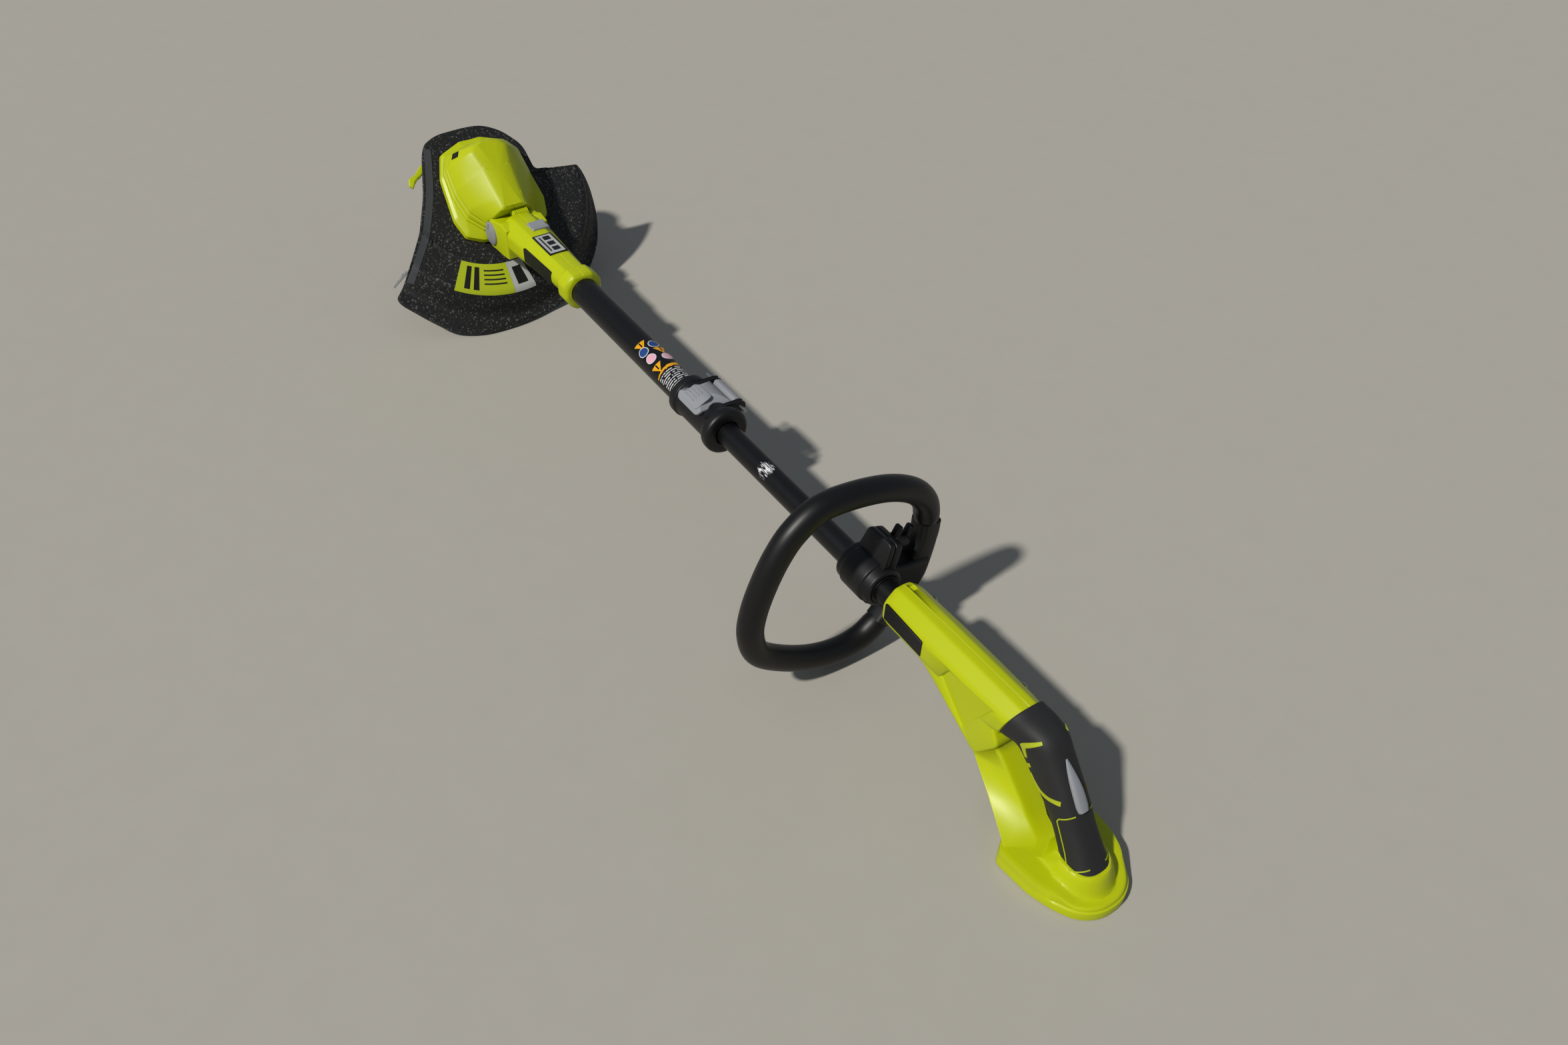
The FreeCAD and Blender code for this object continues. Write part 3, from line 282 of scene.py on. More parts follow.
shells["blue"] = [patch_on_tube(ngon(*at, 5.6, 20), 0.34) for at in blue_signs]
shells["pink"] = [patch_on_tube(ngon(*at, 5.6, 20), 0.34) for at in pink_signs]
line_rng = np.random.default_rng(7)
lines = []
for row in range(11):
    u0 = 641 - row * 3.3
    ends = np.sort(line_rng.uniform(-7, 21, 5))
    stops = np.concatenate([[-9], ends, [23]])
    for a, b in zip(stops[:-1], stops[1:]):
        if b - a > 2.2:
            lines.append(patch_on_tube([(u0, a + 0.5), (u0, b - 0.5), (u0 - 1.3, b - 0.5),
                                        (u0 - 1.3, a + 0.5)], 0.28, cuts=3))
shells["white"] = lines
shells["band"] = [patch_on_tube([(648.6, -9), (648.6, 4), (645, 23), (643.4, 23), (643.4, -9)], 0.28)]
inks = [film, yellow_ink, blue_ink, pink_ink, white_ink]
ink_of = {"film": 0, "yellow": 1, "inner": 1, "mark": 0, "rim": 4, "blue": 2, "pink": 3, "white": 4,
          "band": 1}
sticker = build("tube_sticker", [s for key in ink_of for s in shells[key]], SHAFT, solid=False)
counts = [(ink_of[key], sum(len(f) for _, f in shells[key])) for key in ink_of]
sticker_index = np.concatenate([np.full(c, i) for i, c in counts])
fit(sticker, "front_shaft", "label_film", *inks, replaces=("tube_label",))
sticker.data.polygons.foreach_set("material_index", sticker_index)

# ---- Coupler ------------------------------------------------------------------------------
# Glass-filled nylon clamp on the rear end of the front tube, with a bell-shaped collet ring.
# A grey half-round lever closes over it and turns on a steel pin between two lugs on the right.


def lathe(profile, count=64):
    """A closed turned solid: a profile of (x, r), joined back to its start, turned about x."""
    x, r = np.array([*profile, profile[0]], float).T[..., None]
    a = np.linspace(0, 2 * np.pi, count, endpoint=False)
    return skin(np.stack([np.broadcast_to(x, (len(x), count)), r * np.sin(a), r * np.cos(a)], -1),
                cap=False)


def soften(corners, reach, steps=4):
    """Open or closed outline with each corner replaced by a curve tangent to both its sides.

    The curve is a quadratic Bezier whose ends lie reach before and after the corner."""
    c = np.asarray(corners, float)
    reach = np.broadcast_to(np.asarray(reach, float), (len(c),))[:, None]
    back, ahead = np.roll(c, 1, 0) - c, np.roll(c, -1, 0) - c
    lb = np.maximum(np.linalg.norm(back, axis=1, keepdims=True), 1e-9)
    la = np.maximum(np.linalg.norm(ahead, axis=1, keepdims=True), 1e-9)
    p0 = c + back / lb * np.minimum(reach, lb * 0.49)
    p1 = c + ahead / la * np.minimum(reach, la * 0.49)
    t = np.linspace(0, 1, steps)[None, :, None]
    curve = (1 - t) ** 2 * p0[:, None] + 2 * t * (1 - t) * c[:, None] + t ** 2 * p1[:, None]
    return curve.reshape(-1, c.shape[1])


def inset(outline, by):
    """A closed 2-D outline moved inwards along its own normals (counter-clockwise outline)."""
    ahead, back = np.roll(outline, -1, 0), np.roll(outline, 1, 0)
    t = ahead - back
    t /= np.maximum(np.linalg.norm(t, axis=1, keepdims=True), 1e-9)
    return outline + np.stack([-t[:, 1], t[:, 0]], 1) * by


def slab(outline, low, high, round_edge=1.5, steps=4, swap=None):
    """A plate with the outline in x, y and its edges rounded over: rings at stepped insets."""
    a = np.linspace(0, np.pi / 2, steps)
    drop, pull = round_edge * (1 - np.sin(a)), round_edge * (1 - np.cos(a))
    levels = [(low + d, p) for d, p in zip(drop[::-1], pull[::-1])]
    levels += [(high - d, p) for d, p in zip(drop, pull)]
    rings = np.stack([np.column_stack([inset(outline, p), np.full(len(outline), z)])
                      for z, p in levels])
    if swap:
        rings = rings[..., list(swap)]
    return skin(rings)


body_profile = [(511.5, 14), (511.5, 22.5), (513.5, 25), (517, 26), (526, 26), (529, 25.4),
                (532, 23.6), (534, 22.4), (540, 21.4), (552, 21), (612, 21), (616, 21.6), (618, 23.4),
                (631, 23.4), (632.5, 22.4), (632.5, 17.1), (578, 17.1), (578, 14), (530, 14),
                (530, 21), (519, 21), (519, 14)]
bell = lathe(soften(body_profile, 0.8, 3), count=96)


def spoke(outline, start, end, turn):
    """A bar along the shaft from start to end; its section is (radius, across), turned from the top."""
    pts, faces = slab(outline, start, end, 0.6, 3)
    c, s = np.cos(turn), np.sin(turn)
    return np.stack([pts[:, 2], pts[:, 0] * s + pts[:, 1] * c, pts[:, 0] * c - pts[:, 1] * s], -1), faces


tooth = soften([(13.2, -2.6), (21.2, -3.4), (21.2, 3.4), (13.2, 2.6)], 0.8, 3)
teeth = [spoke(tooth, 513.2, 522, k * np.pi / 4 + 0.2) for k in range(8)]
collar_rib = soften([(20.5, -0.8), (22.6, -0.8), (22.6, 0.8), (20.5, 0.8)], 0.4, 3)
collar_ribs = [spoke(collar_rib, 556, 606, np.radians(150 + k * 9)) for k in range(7)]
lug = soften([(-8, 19.8), (-15, 11), (-30, 6), (-33, 11), (-31.5, 17.5), (-24, 19)], 2.5, 5)
lugs = [slab(lug, start, end, 1.0, 4, swap=(2, 0, 1)) for start, end in ((537.5, 545), (609, 616.5))]


def nearer(shells):
    """The coupler's stations drawn together: s becomes 532 + (s - 512) 2/3."""
    scale, shift = np.array([2 / 3, 1, 1]), np.array([532 - 512 * 2 / 3, 0, 0])
    return [(p * scale + shift, f) for p, f in shells]


coupler_shell = build("coupler_shell", nearer([bell, *teeth, *collar_ribs, *lugs]), SHAFT)
fit(coupler_shell, "front_shaft", "black_plastic", black_moulded, replaces=("coupler_body",))

grey_moulded = moulded("grey_moulded_abs", "8A8D92", 0.45, 0.8, 0.04, shade=0.12)


def bent(u, turn, r):
    """A point u along the shaft, turned by an angle from its top, at radius r."""
    return np.stack([u, r * np.sin(turn), r * np.cos(turn)], -1)


def curved_plate(outline, r0, r1, edge, cuts=14):
    """A plate bent round the shaft: outline in u mm and degrees, from radius r0 to r1.

    The rim rings are stepped insets; the top is filled by rings shrinking to the middle."""
    flat = outline * np.array([1.0, np.radians(1.0) * r1])
    levels = [(0.0, r0), (0.0, r1 - edge)]
    levels += [(edge * (1 - math.cos(a)), r1 - edge + edge * math.sin(a))
               for a in np.linspace(0, np.pi / 2, 4)[1:]]
    rings = [np.column_stack([inset(flat, p), np.full(len(flat), r)]) for p, r in levels]
    top = rings[-1]
    middle = top.mean(0)
    rings += [middle + (top - middle) * s for s in np.linspace(1, 0.02, cuts)[1:]]
    under = [middle + (rings[0] - middle) * s for s in np.linspace(0.02, 1, cuts)[:-1]]
    under = [np.column_stack([ring[:, :2], np.full(len(ring), r0)]) for ring in under]
    grid = np.stack(under + rings)
    return skin(bent(grid[..., 0], grid[..., 1] / r1, grid[..., 2]))


cover = soften([(548, -52), (548, 46), (553, 58), (606, 58), (612, 46), (612, -52)],
               [3, 6, 6, 6, 6, 3], 6)
raised = soften([(560, -2), (556, 8), (556, 40), (560, 48), (594, 48), (600, 40), (600, 8), (594, -2)],
                2.5, 5)
lever_shells = [curved_plate(cover[::-1], 23.2, 26.6, 1.4), curved_plate(raised[::-1], 26.4, 27.7, 0.8)]
for k in range(4):
    low = 10 + 8 * k
    rib = soften([(572, low), (572, low + 2.4), (597, low + 2.4), (597, low)], 0.8, 4)
    lever_shells.append(curved_plate(rib[::-1], 27.6, 28.4, 0.5, cuts=5))
hook = soften([(-20.6, 12.2), (-24, 19.8), (-31, 18.4), (-32.4, 12.5), (-27, 8.2), (-22.6, 9.2)],
              2.5, 5)
lever_shells.append(slab(hook, 547.5, 607, 1.2, 4, swap=(2, 0, 1)))
coupler_cover = build("coupler_cover", nearer(lever_shells), SHAFT)
fit(coupler_cover, "coupler_lever_body", "grey_plastic", grey_moulded, replaces=("coupler_lever",))
zinc = moulded("zinc_plated_steel", "B9BBBD", 0.32, 0.4, 0.01, shade=0.15, Metallic=1.0)
for name in ("coupler_pin", "trigger_pin", "lock_lever_pin", "pivot_axle", "clamp_bolt", "clamp_screw",
             "housing_screws", "socket_screws", "guard_screws", "cutter_screws", "line_cutter",
             "motor_can", "motor_shaft", "trigger_spring"):
    dress(name, zinc)

# ---- Loop handle --------------------------------------------------------------------------
# D-shaped assist handle: a nylon base bar with a clamp hub round the tube, and a black foam
# rubber tube pushed over its steel core. It is clamped square to the shaft, turned to the left.
loop_up = np.array(joints["wing_knob_turn"]["axis"])
LOOP = frame_at(hub_point, along, loop_up)
foam = moulded("black_foam_rubber", "0B0B0C", 0.42, 0.6, 0.03, shade=0.25)
FOAM_R = 12.6


def bulge(value, power):
    """A superellipse's cosine or sine: sign(v) |v|^(2/power)."""
    return np.sign(value) * np.abs(value) ** (2 / power)


def swept(path, radii, count=40, power=2.0, tall=None):
    """A section carried along a path in the y, z plane: superellipse radii in plane and across.

    Section point = path + in-plane normal times r cos^(2/n) + x direction times r2 sin^(2/n)."""
    path = np.asarray(path, float)
    t = np.gradient(path, axis=0)
    t /= np.linalg.norm(t, axis=1, keepdims=True)
    n = np.stack([t[:, 1], -t[:, 0]], 1)
    a = np.linspace(0, 2 * np.pi, count, endpoint=False)
    radii = np.broadcast_to(np.asarray(radii, float), (len(path),))[:, None]
    tall = radii if tall is None else tall[:, None]
    yz = path[:, None, :] + n[:, None, :] * (tall * bulge(np.cos(a), power))[..., None]
    return np.concatenate([(radii * bulge(np.sin(a), power))[..., None], yz], -1)


def rounded(points, step=4):
    """A smooth line through points: Catmull-Rom spans, even steps.

    p(t) = (2 p1 + (p2 - p0) t + (2 p0 - 5 p1 + 4 p2 - p3) t^2 + (3 p1 - p0 - 3 p2 + p3) t^3) / 2"""
    p = np.asarray(points, float)
    p = np.concatenate([[2 * p[0] - p[1]], p, [2 * p[-1] - p[-2]]])
    t = np.linspace(0, 1, 24, endpoint=False)[None, :, None]
    a, b, c, d = (p[k:len(p) - 3 + k, None] for k in range(4))
    fine = (2 * b + (c - a) * t + (2 * a - 5 * b + 4 * c - d) * t ** 2
            + (3 * b - a - 3 * c + d) * t ** 3) / 2
    fine = np.concatenate([fine.reshape(-1, 2), p[-2:-1]])
    far = np.concatenate([[0], np.cumsum(np.linalg.norm(np.diff(fine, axis=0), axis=1))])
    at = np.linspace(0, far[-1], int(far[-1] / step) + 1)
    return np.stack([np.interp(at, far, fine[:, 0]), np.interp(at, far, fine[:, 1])], 1)


half_loop = np.array([(0, 128.5), (30, 126.5), (56, 119), (79, 101), (91, 69), (97, 28), (93, -7),
                      (80, -31), (60, -45)])
upper_path = rounded(np.concatenate([half_loop[:0:-1] * np.array([-1, 1]), half_loop]))
from_end = np.minimum(np.arange(len(upper_path)), np.arange(len(upper_path))[::-1])
foam_radii = FOAM_R - 1.2 * (from_end == 0) - 0.35 * (from_end == 1)
foam_tube = skin(swept(upper_path, foam_radii, 48))
fit(build("loop_foam", [foam_tube], LOOP), "loop_handle", "loop_rubber", foam, replaces=("loop_grip",))

lower_path = rounded([(60, -45), (40, -51), (0, -54), (-40, -51), (-60, -45)])
bar_height = 11.4 + 5.5 * np.clip(1 - np.abs(np.linspace(-1, 1, len(lower_path))) * 1.5, 0, 1)
bar = skin(swept(lower_path, 11.2, 32, power=4.5, tall=bar_height))
HUB_R, HUB_L = 22.6, 24.0       # hub radius and half length
BOLT_Y = -37.0                  # the clamp bolt stands this far to the right of the tube
hub_profile = soften([(-HUB_L - 1, 15.4), (-HUB_L - 1, 18), (-HUB_L + 1, 20), (-HUB_L + 9, 20.4),
                      (-HUB_L + 10.5, HUB_R), (HUB_L - 9, HUB_R), (HUB_L - 7.5, 20.8),
                      (HUB_L - 1, 20.4), (HUB_L + 1, 18.4), (HUB_L + 1, 15.4)], 0.8, 3)
hub_ring = lathe(hub_profile, 80)
flange = soften([(-17, -44), (17, -44), (20, -20), (20, 22), (-20, 22), (-20, -20)], 5, 5)
lower_flange = slab(flange, -8.5, -0.4, 1.5, 4)
neck = soften([(-14, -16), (14, -16), (14, 16), (-14, 16)], 5, 6)
stem_rings = np.stack([np.column_stack([neck * np.array([1.0, s]), np.full(len(neck), z)])
                       for z, s in ((-60, 1.35), (-46, 1.25), (-34, 1.0), (-22, 0.9), (-12, 0.85))])
bracket = build("loop_bracket_shell", [bar, hub_ring, lower_flange, skin(stem_rings)], LOOP)
fit(bracket, "loop_handle", "black_plastic", black_moulded, replaces=("loop_bracket",))
upper_flange = slab(flange, 0.4, 7.6, 1.8, 4)
fit(build("clamp_cap_shell", [upper_flange], LOOP), "loop_handle", "black_plastic", black_moulded,
    replaces=("clamp_cap",))
screw_head = slab(ngon(0, 15, 3.4, 24), -10.0, -8.0, 0.5, 2)
fit(build("clamp_screw_head", [screw_head], LOOP), "loop_handle", "steel", zinc,
    replaces=("clamp_screw",))
shank = slab(ngon(0, BOLT_Y, 3.0, 24), -9.0, 7.9, 0.4, 2)
fit(build("clamp_bolt_shank", [shank], LOOP), "loop_handle", "steel", black_moulded,
    replaces=("clamp_bolt",))
dress("clamp_liner", foam)

# ---- Wing knob ----------------------------------------------------------------------------
# Moulded nylon knob with two prongs to one side, on the clamp bolt at the right of the tube.
knob_points, knob_faces = lathe(soften([(-30, 4), (-30, 6), (-26, 7.4), (-11.5, 7.8), (-10.6, 6.8),
                                        (-10.6, 3.4), (-24, 3.4)], 0.8, 3), 40)
knob_points = knob_points[:, [1, 2, 0]] + np.array([0, BOLT_Y, 0])
prongs = []
for z in (-12.5, -27.0):
    prong = soften([(BOLT_Y + 4, z - 3.4), (BOLT_Y - 10, z - 3.0), (BOLT_Y - 17, z - 2.2),
                    (BOLT_Y - 17, z + 2.2), (BOLT_Y - 10, z + 3.0), (BOLT_Y + 4, z + 3.4)], 1.9, 5)
    pts, faces = slab(prong[::-1], -4.2, 4.2, 1.8, 5)
    prongs.append((pts[:, [2, 0, 1]], faces))
fit(build("knob_with_wings", [(knob_points, knob_faces), *prongs], LOOP), "wing_knob_body",
    "black_plastic", black_moulded, replaces=("wing_knob",))

# ---- Rear housing -------------------------------------------------------------------------
# Two ABS shells screwed together along the middle: an eight-sided barrel that holds the tube,
# a cheek and a flared strut under it, and the foot that takes the battery. Satin lime, with
# a fine seam where the halves meet.
lime = moulded("lime_moulded_abs", "AFBA00", 0.4, 0.9, 0.02, shade=0.1)
DECK_Z = 20.0                   # height of the foot's flat deck
SEAM = 0.5                      # depth of the seam groove


def octagon(half, top, bottom, flat_top):
    """Half corners mirrored to a closed outline in y and z, with a fine seam groove on top."""
    left = np.array([(0.45, top), (flat_top, top - 0.6), (half - 2.5, top - 9.5), (half, top - 14.5),
                     (half, -bottom + 17), (half - 7, -bottom + 6), (half - 15, -bottom),
                     (0.4, -bottom)])
    right = left[::-1] * np.array([-1, 1])
    return np.concatenate([[(0.0, top - SEAM)], left, [(0.0, -bottom + SEAM)], right])


# how far each of the octagon's corners is rounded, and next to nothing at the seams
OCTAGON_REACH = [0.01, 0.01, 2, 2.5, 2.5, 3, 3, 2, 0.01, 0.01, 0.01, 2, 3, 3, 2.5, 2.5, 2, 0.01]


def barrel(stations, flat_top=8.0):
    """Octagon rings along the shaft's x; each station is (x, half, top, bottom, lean)."""
    rings = []
    for x, half, top, bottom, lean in stations:
        ring = soften(octagon(half, top, bottom, flat_top), OCTAGON_REACH, 4)
        rings.append(np.column_stack([x + lean * (top - ring[:, 1]), ring]))
    return skin(np.stack(rings))


def standing(outline, low, high, edge, steps=4, side_sign=1):
    """A slab whose outline is a side view in x and z, from y low to high; -1 mirrors it in y."""
    pts, faces = slab(outline, low, high, edge, steps, swap=(0, 2, 1))
    return pts * np.array([1, side_sign, 1]), faces


shaft_barrel = barrel([(71.6, 18.6, 26.8, 18, 0.356), (72.6, 20.0, 27.6, 19, 0.356),
                       (84, 20.8, 27.9, 22, 0.3), (130, 21.6, 28, 22, 0), (180, 22, 28, 22, 0),
                       (232, 21.5, 27.4, 22, 0), (239, 20.8, 26.4, 21, 0), (241, 19.4, 25, 19.6, 0),
                       (241.2, 17, 22, 17, 0)])
barrel_world = (placed(shaft_barrel[0], SHAFT), shaft_barrel[1])
cheek_outline = soften([(98, 113), (89, 98), (79, 84), (104.5, 49), (176, 92), (196, 98), (190, 112)],
                       [4, 6, 8, 6, 12, 6, 4], 5)
cheek = standing(cheek_outline, -19.5, 19.5, 3.0, 5)


def level_section(z, rear, corner, corner_y, front, front_y):
    """One level section of the strut, in x and y at height z, with softened corners."""
    half = [(rear, 9.3), (rear + 0.6, 15.5), (corner, corner_y), (front, front_y)]
    ring = np.array(half + [(x, -y) for x, y in half[::-1]])
    ring = soften(ring, [2, 2.5, 2.5, 4, 4, 2.5, 2.5, 2], 4)
    return np.column_stack([ring, np.full(len(ring), z)])


strut = skin(np.stack([level_section(*row) for row in (
    (12, 11, 24, 47, 54, 22), (20, 19.5, 30.6, 44, 55, 20), (35, 36, 68, 31, 84, 12),
    (49.5, 52, 103, 19.6, 110, 9), (62, 65.5, 118, 17.5, 121, 9), (73, 77.5, 130, 16, 134, 9),
    (88, 92, 150, 15, 156, 9))]))

foot_outline = soften([(57, -14), (57, 14), (32, 49.5), (-6, 47), (-28, 40.5), (-48, 30), (-58.5, 12),
                       (-58.5, -12), (-48, -30), (-28, -40.5), (-6, -47), (32, -49.5)],
                      [6, 6, 6, 6, 8, 10, 10, 10, 10, 8, 6, 6], 6)


def drawn_in(by, share=1.0):
    """The foot's outline moved inwards by a share of an inset."""
    return foot_outline + (inset(foot_outline, by) - foot_outline) * np.reshape(share, (-1, 1))


def foot_height(x, y):
    """Deck at 20 mm, lower at the rear; a dome to 33 mm rises round the grip by a smooth step."""
    rear = np.clip((-x - 22) / 22, 0, 1)
    deck = DECK_Z - 6.5 * rear * rear * (3 - 2 * rear)
    far = np.sqrt(((x + 17) / 22.5) ** 2 + (y / 19.5) ** 2)
    near = np.clip((1.46 - far) / 0.42, 0, 1)
    front_fade = np.clip((22 - x) / 14, 0, 1)
    return deck + (33 - deck) * near * near * (3 - 2 * near) * front_fade


share = np.linspace(0.02, 1, 30)[:, None, None]
dome_middle = np.array([-17.0, 0.0])
top_xy = dome_middle + (drawn_in(4.2) - dome_middle) * share
top_z = foot_height(top_xy[..., 0], top_xy[..., 1])
rim_z = np.minimum(foot_height(*drawn_in(4.2).T), DECK_Z)
rearward = np.clip((-foot_outline[:, 0] - 18) / 14, 0, 1)      # 0 on the side walls, 1 at the rear
walls = [(drawn_in(3.0, 0.35 + 0.65 * rearward), rim_z - 0.5),
         (drawn_in(2.2, 0.35 + 0.65 * rearward), rim_z - 1.6),
         (drawn_in(2.0, 0.2 + 0.8 * rearward), 10.2), (drawn_in(0.4), 9.4), (drawn_in(0.0), 8.4),
         (drawn_in(0.0), 1.0), (drawn_in(1.0), 0.0)]
walls = np.stack([np.column_stack([xy, np.broadcast_to(z, len(xy))]) for xy, z in walls])
foot = skin(np.concatenate([np.concatenate([top_xy, top_z[..., None]], -1), walls]))


def carve(target, shells, where):
    """Cut closed shells out of a piece and keep the result as its plain mesh."""
    tool = build("cutter", shells, where)
    bite = target.modifiers.new("bite", "BOOLEAN")
    bite.object, bite.operation, bite.solver, bite.use_self = tool, "DIFFERENCE", "EXACT", True
    scene_now = bpy.context.evaluated_depsgraph_get()
    plain = bpy.data.meshes.new_from_object(target.evaluated_get(scene_now))
    target.modifiers.clear()
    target.data = plain
    bpy.data.objects.remove(tool)


rear_shell = build("rear_shell", [barrel_world, cheek, strut, foot], WORLD)
recess_rim = np.array([(160.8, 98.9), (149.7, 120), (90.4, 121.5), (120.1, 60.7)])
recess_floor = np.array([(157, 101), (147, 118.5), (93.5, 120), (124.5, 68)])
cutters = []
for side_sign in (1, -1):
    rings = [np.column_stack([p[:, 0], np.full(4, side_sign * y), p[:, 1]])
             for p, y in ((recess_rim, 24), (recess_rim, 22.5), (recess_floor, 17.6))]
    cutters.append(skin(np.stack(rings)))
notch = np.array([(228, -8), (236, -8), (236, -2), (228, -2)])
notch_points, notch_faces = skin(np.stack([np.column_stack([notch, np.full(4, z)]) for z in (24.5, 30)]))
cutters.append((placed(notch_points, SHAFT), notch_faces))
carve(rear_shell, cutters, WORLD)
fit(rear_shell, "rear_unit", "lime_plastic", lime, replaces=("rear_housing_left", "rear_housing_right"))
badge_outline = soften([(183, -3), (235.5, -1), (235.5, 18), (183, 15)], 1.2, 3)
fit(build("barrel_badge", [standing(badge_outline, -22.7, -20.5, 0.4, 2, -1)], SHAFT), "rear_unit",
    "black_plastic", black_moulded, replaces=("housing_badge",))

# ---- Grip ---------------------------------------------------------------------------------
# Charcoal rubber moulded over the grip in one sleeve, closer in the hand's middle and flared at
# the foot, with fine lime lines, a lime-edged panel low on the rear and the lock lever's ridge.
rubber = moulded("charcoal_grip_rubber", "232324", 0.6, 1.1, 0.09, shade=0.2)
GRIP = frame_at(np.array([36.0, 0, 131]) * MM, (-0.5934, 0, -0.8049), (0.8049, 0, -0.5934))
GRIP_POWER = 2.6                # squareness of the grip's section
# rear rail x and z, front rail x and z, half width
stations = np.array([(-23.4, 27.5, -0.7, 61.6, 20.6), (-14.3, 14.3, 2.3, 53.5, 20.4),
                     (-8, 7.6, 4, 46.5, 19.6), (-2, 2.4, 8.6, 43, 19), (6, -0.4, 14, 41.5, 18.6),
                     (18, -0.6, 21, 40.5, 18), (30, -1, 30, 39, 17.8),
                     (40, -1.5, 40, 38, 17.4), (50, -2, 50, 35, 17), (66, -1.5, 66, 31, 16.6),
                     (83, 0, 83, 31.5, 16.6), (100, 0, 100, 33, 17), (115, 0, 115, 35, 18.4),
                     (124, -1, 124, 37, 19.8), (130, -1, 130, 38, 20.2)])


def rails(p):
    """Rear rail height, front rail x and height, and half width at p mm down the rear rail.

    Each is a mean of three straight-line readings, 2.5 mm apart, which rounds the stations' kinks."""
    return [np.mean([np.interp(p + d, stations[:, 0], stations[:, k]) for d in (-2.5, 0, 2.5)], 0)
            for k in (1, 2, 3, 4)]


def grip_at(p, turn, lift=0.0):
    """Grip surface at p mm down its rear rail and a turn round it (0 front, 180 rear), lifted out.

    Between the rails, share = (1 + cos^(2/2.6)) / 2 from rear to front; y = width sin^(2/2.6)."""
    p, turn = np.broadcast_arrays(np.asarray(p, float), np.radians(np.asarray(turn, float)))
    rear, front_x, front, width = rails(p)
    c, s = bulge(np.cos(turn), GRIP_POWER), bulge(np.sin(turn), GRIP_POWER)
    share = (1 + c) / 2
    return np.stack([p + (front_x - p) * share, (width + lift) * s,
                     rear + (front - rear) * share + lift * c], -1)


downs = np.concatenate([[-23.4, -23.0], np.linspace(-22.2, 127, 72), [127.4, 128]])
turns = np.linspace(0, 360, 120, endpoint=False)
pinch = np.interp(downs, [-23.4, -23.0, 127.4, 128], [-0.6, 0.0, 0.0, -1.0])
sleeve = skin(np.stack([grip_at(d, turns, q) for d, q in zip(downs, pinch)]))
fit(build("grip_sleeve", [sleeve], GRIP), "rear_unit", "grip_rubber", rubber,
    replaces=("grip_rubber_left", "grip_rubber_right"))


def ribbon(path, width, lift, count=40):
    """A thin closed strip lying on the grip along a line of (x, turn) points.

    Corner points = surface point + (normal x tangent) times half the width + normal times lift;
    the underside lies 0.8 mm below the surface."""
    path = np.asarray(path, float)
    far = np.concatenate([[0], np.cumsum(np.hypot(*(np.diff(path, axis=0) * [1, 0.3]).T))])
    at = np.linspace(0, far[-1], count)
    x, turn = np.interp(at, far, path[:, 0]), np.interp(at, far, path[:, 1])
    p = grip_at(x, turn)
    n = np.cross(grip_at(x + 0.1, turn) - p, grip_at(x, turn + 0.3) - p)
    n /= np.linalg.norm(n, axis=1, keepdims=True)
    n *= np.sign(np.sum(n * (p - [0, 0, 15]) * [0, 1, 1], 1, keepdims=True))
    t = np.gradient(p, axis=0)
    b = np.cross(n, t)
    b /= np.linalg.norm(b, axis=1, keepdims=True)
    half = np.linspace(*np.broadcast_to(width, 2), count)[:, None] / 2
    return skin(np.stack([p + b * half + n * lift, p - b * half + n * lift,
                          p - b * half - n * 0.8, p + b * half - n * 0.8], 1))


def side_line(points):
    """(x, z) points seen from the side as (p, turn), by solving the rails for p a few times over."""
    x, z = np.array(points, float).T
    p = x.copy()
    for _ in range(12):
        rear, front_x, front, width = rails(p)
        share = (z - rear) / (front - rear)
        p = p + 0.6 * (x - p - (front_x - p) * share)
    c = np.clip(2 * share - 1, -0.999, 0.999)
    return np.column_stack([p, np.degrees(np.arccos(bulge(c, 4 / GRIP_POWER)))])


marks = [(side_line([(-0.1, 6), (0.6, 15), (2.4, 25)]), (3.0, 5.0)),
         (side_line([(1.4, 25), (8, 26), (13.5, 27)]), (5.0, 3.0)),
         (side_line([(19.5, 27.5), (23, 27)]), (3.6, 3.2)),
         (side_line([(29, 29.8), (36, 28.4), (44.4, 24), (50, 15), (53.6, 4.5)]), (2.0, 4.2))]
panel_line = [(67.5, 158), (67.5, 100), (70, 92), (110, 90), (115, 97), (116, 158)]
shells = [ribbon(line, width, 0.7) for line, width in marks]
shells += [ribbon(panel_line, 1.0, 0.45, 160)]
mirrored = [(points * np.array([1, -1, 1]), faces) for points, faces in shells]
lime_ink = moulded("lime_rubber_inlay", "A9B41E", 0.5, 0.8, 0.02)
fit(build("grip_accents", shells + mirrored, GRIP), "rear_unit", "label_lime", lime_ink)
lever_x = np.linspace(19, 66, 26)
k = (lever_x - 19) / 47         # 0 at the lever's upper end, 1 at its lower end
lever_half = 1.2 + 4.6 * np.sin(np.clip(k * 1.25, 0, 1) * np.pi / 2) ** 0.8
lever_half -= 9.6 * np.clip(k - 0.9, 0, 1)
lever_top = rails(lever_x)[0] - 0.6 - 3.0 * np.sin(np.clip(k * 1.6, 0, 1) * np.pi / 2)
a = np.linspace(0, 2 * np.pi, 28, endpoint=False)
lever = np.stack([np.broadcast_to(lever_x[:, None], (26, 28)),
                  lever_half[:, None] * bulge(np.sin(a), 2 / 0.7),
                  lever_top[:, None] + 3.6 - 3.6 * bulge(np.cos(a), 2 / 0.7)], -1)
fit(build("lock_lever_leaf", [skin(lever)], GRIP), "lock_lever_body", "grey_plastic", grey_moulded,
    replaces=("lock_lever",))
dress("trigger", black_moulded)

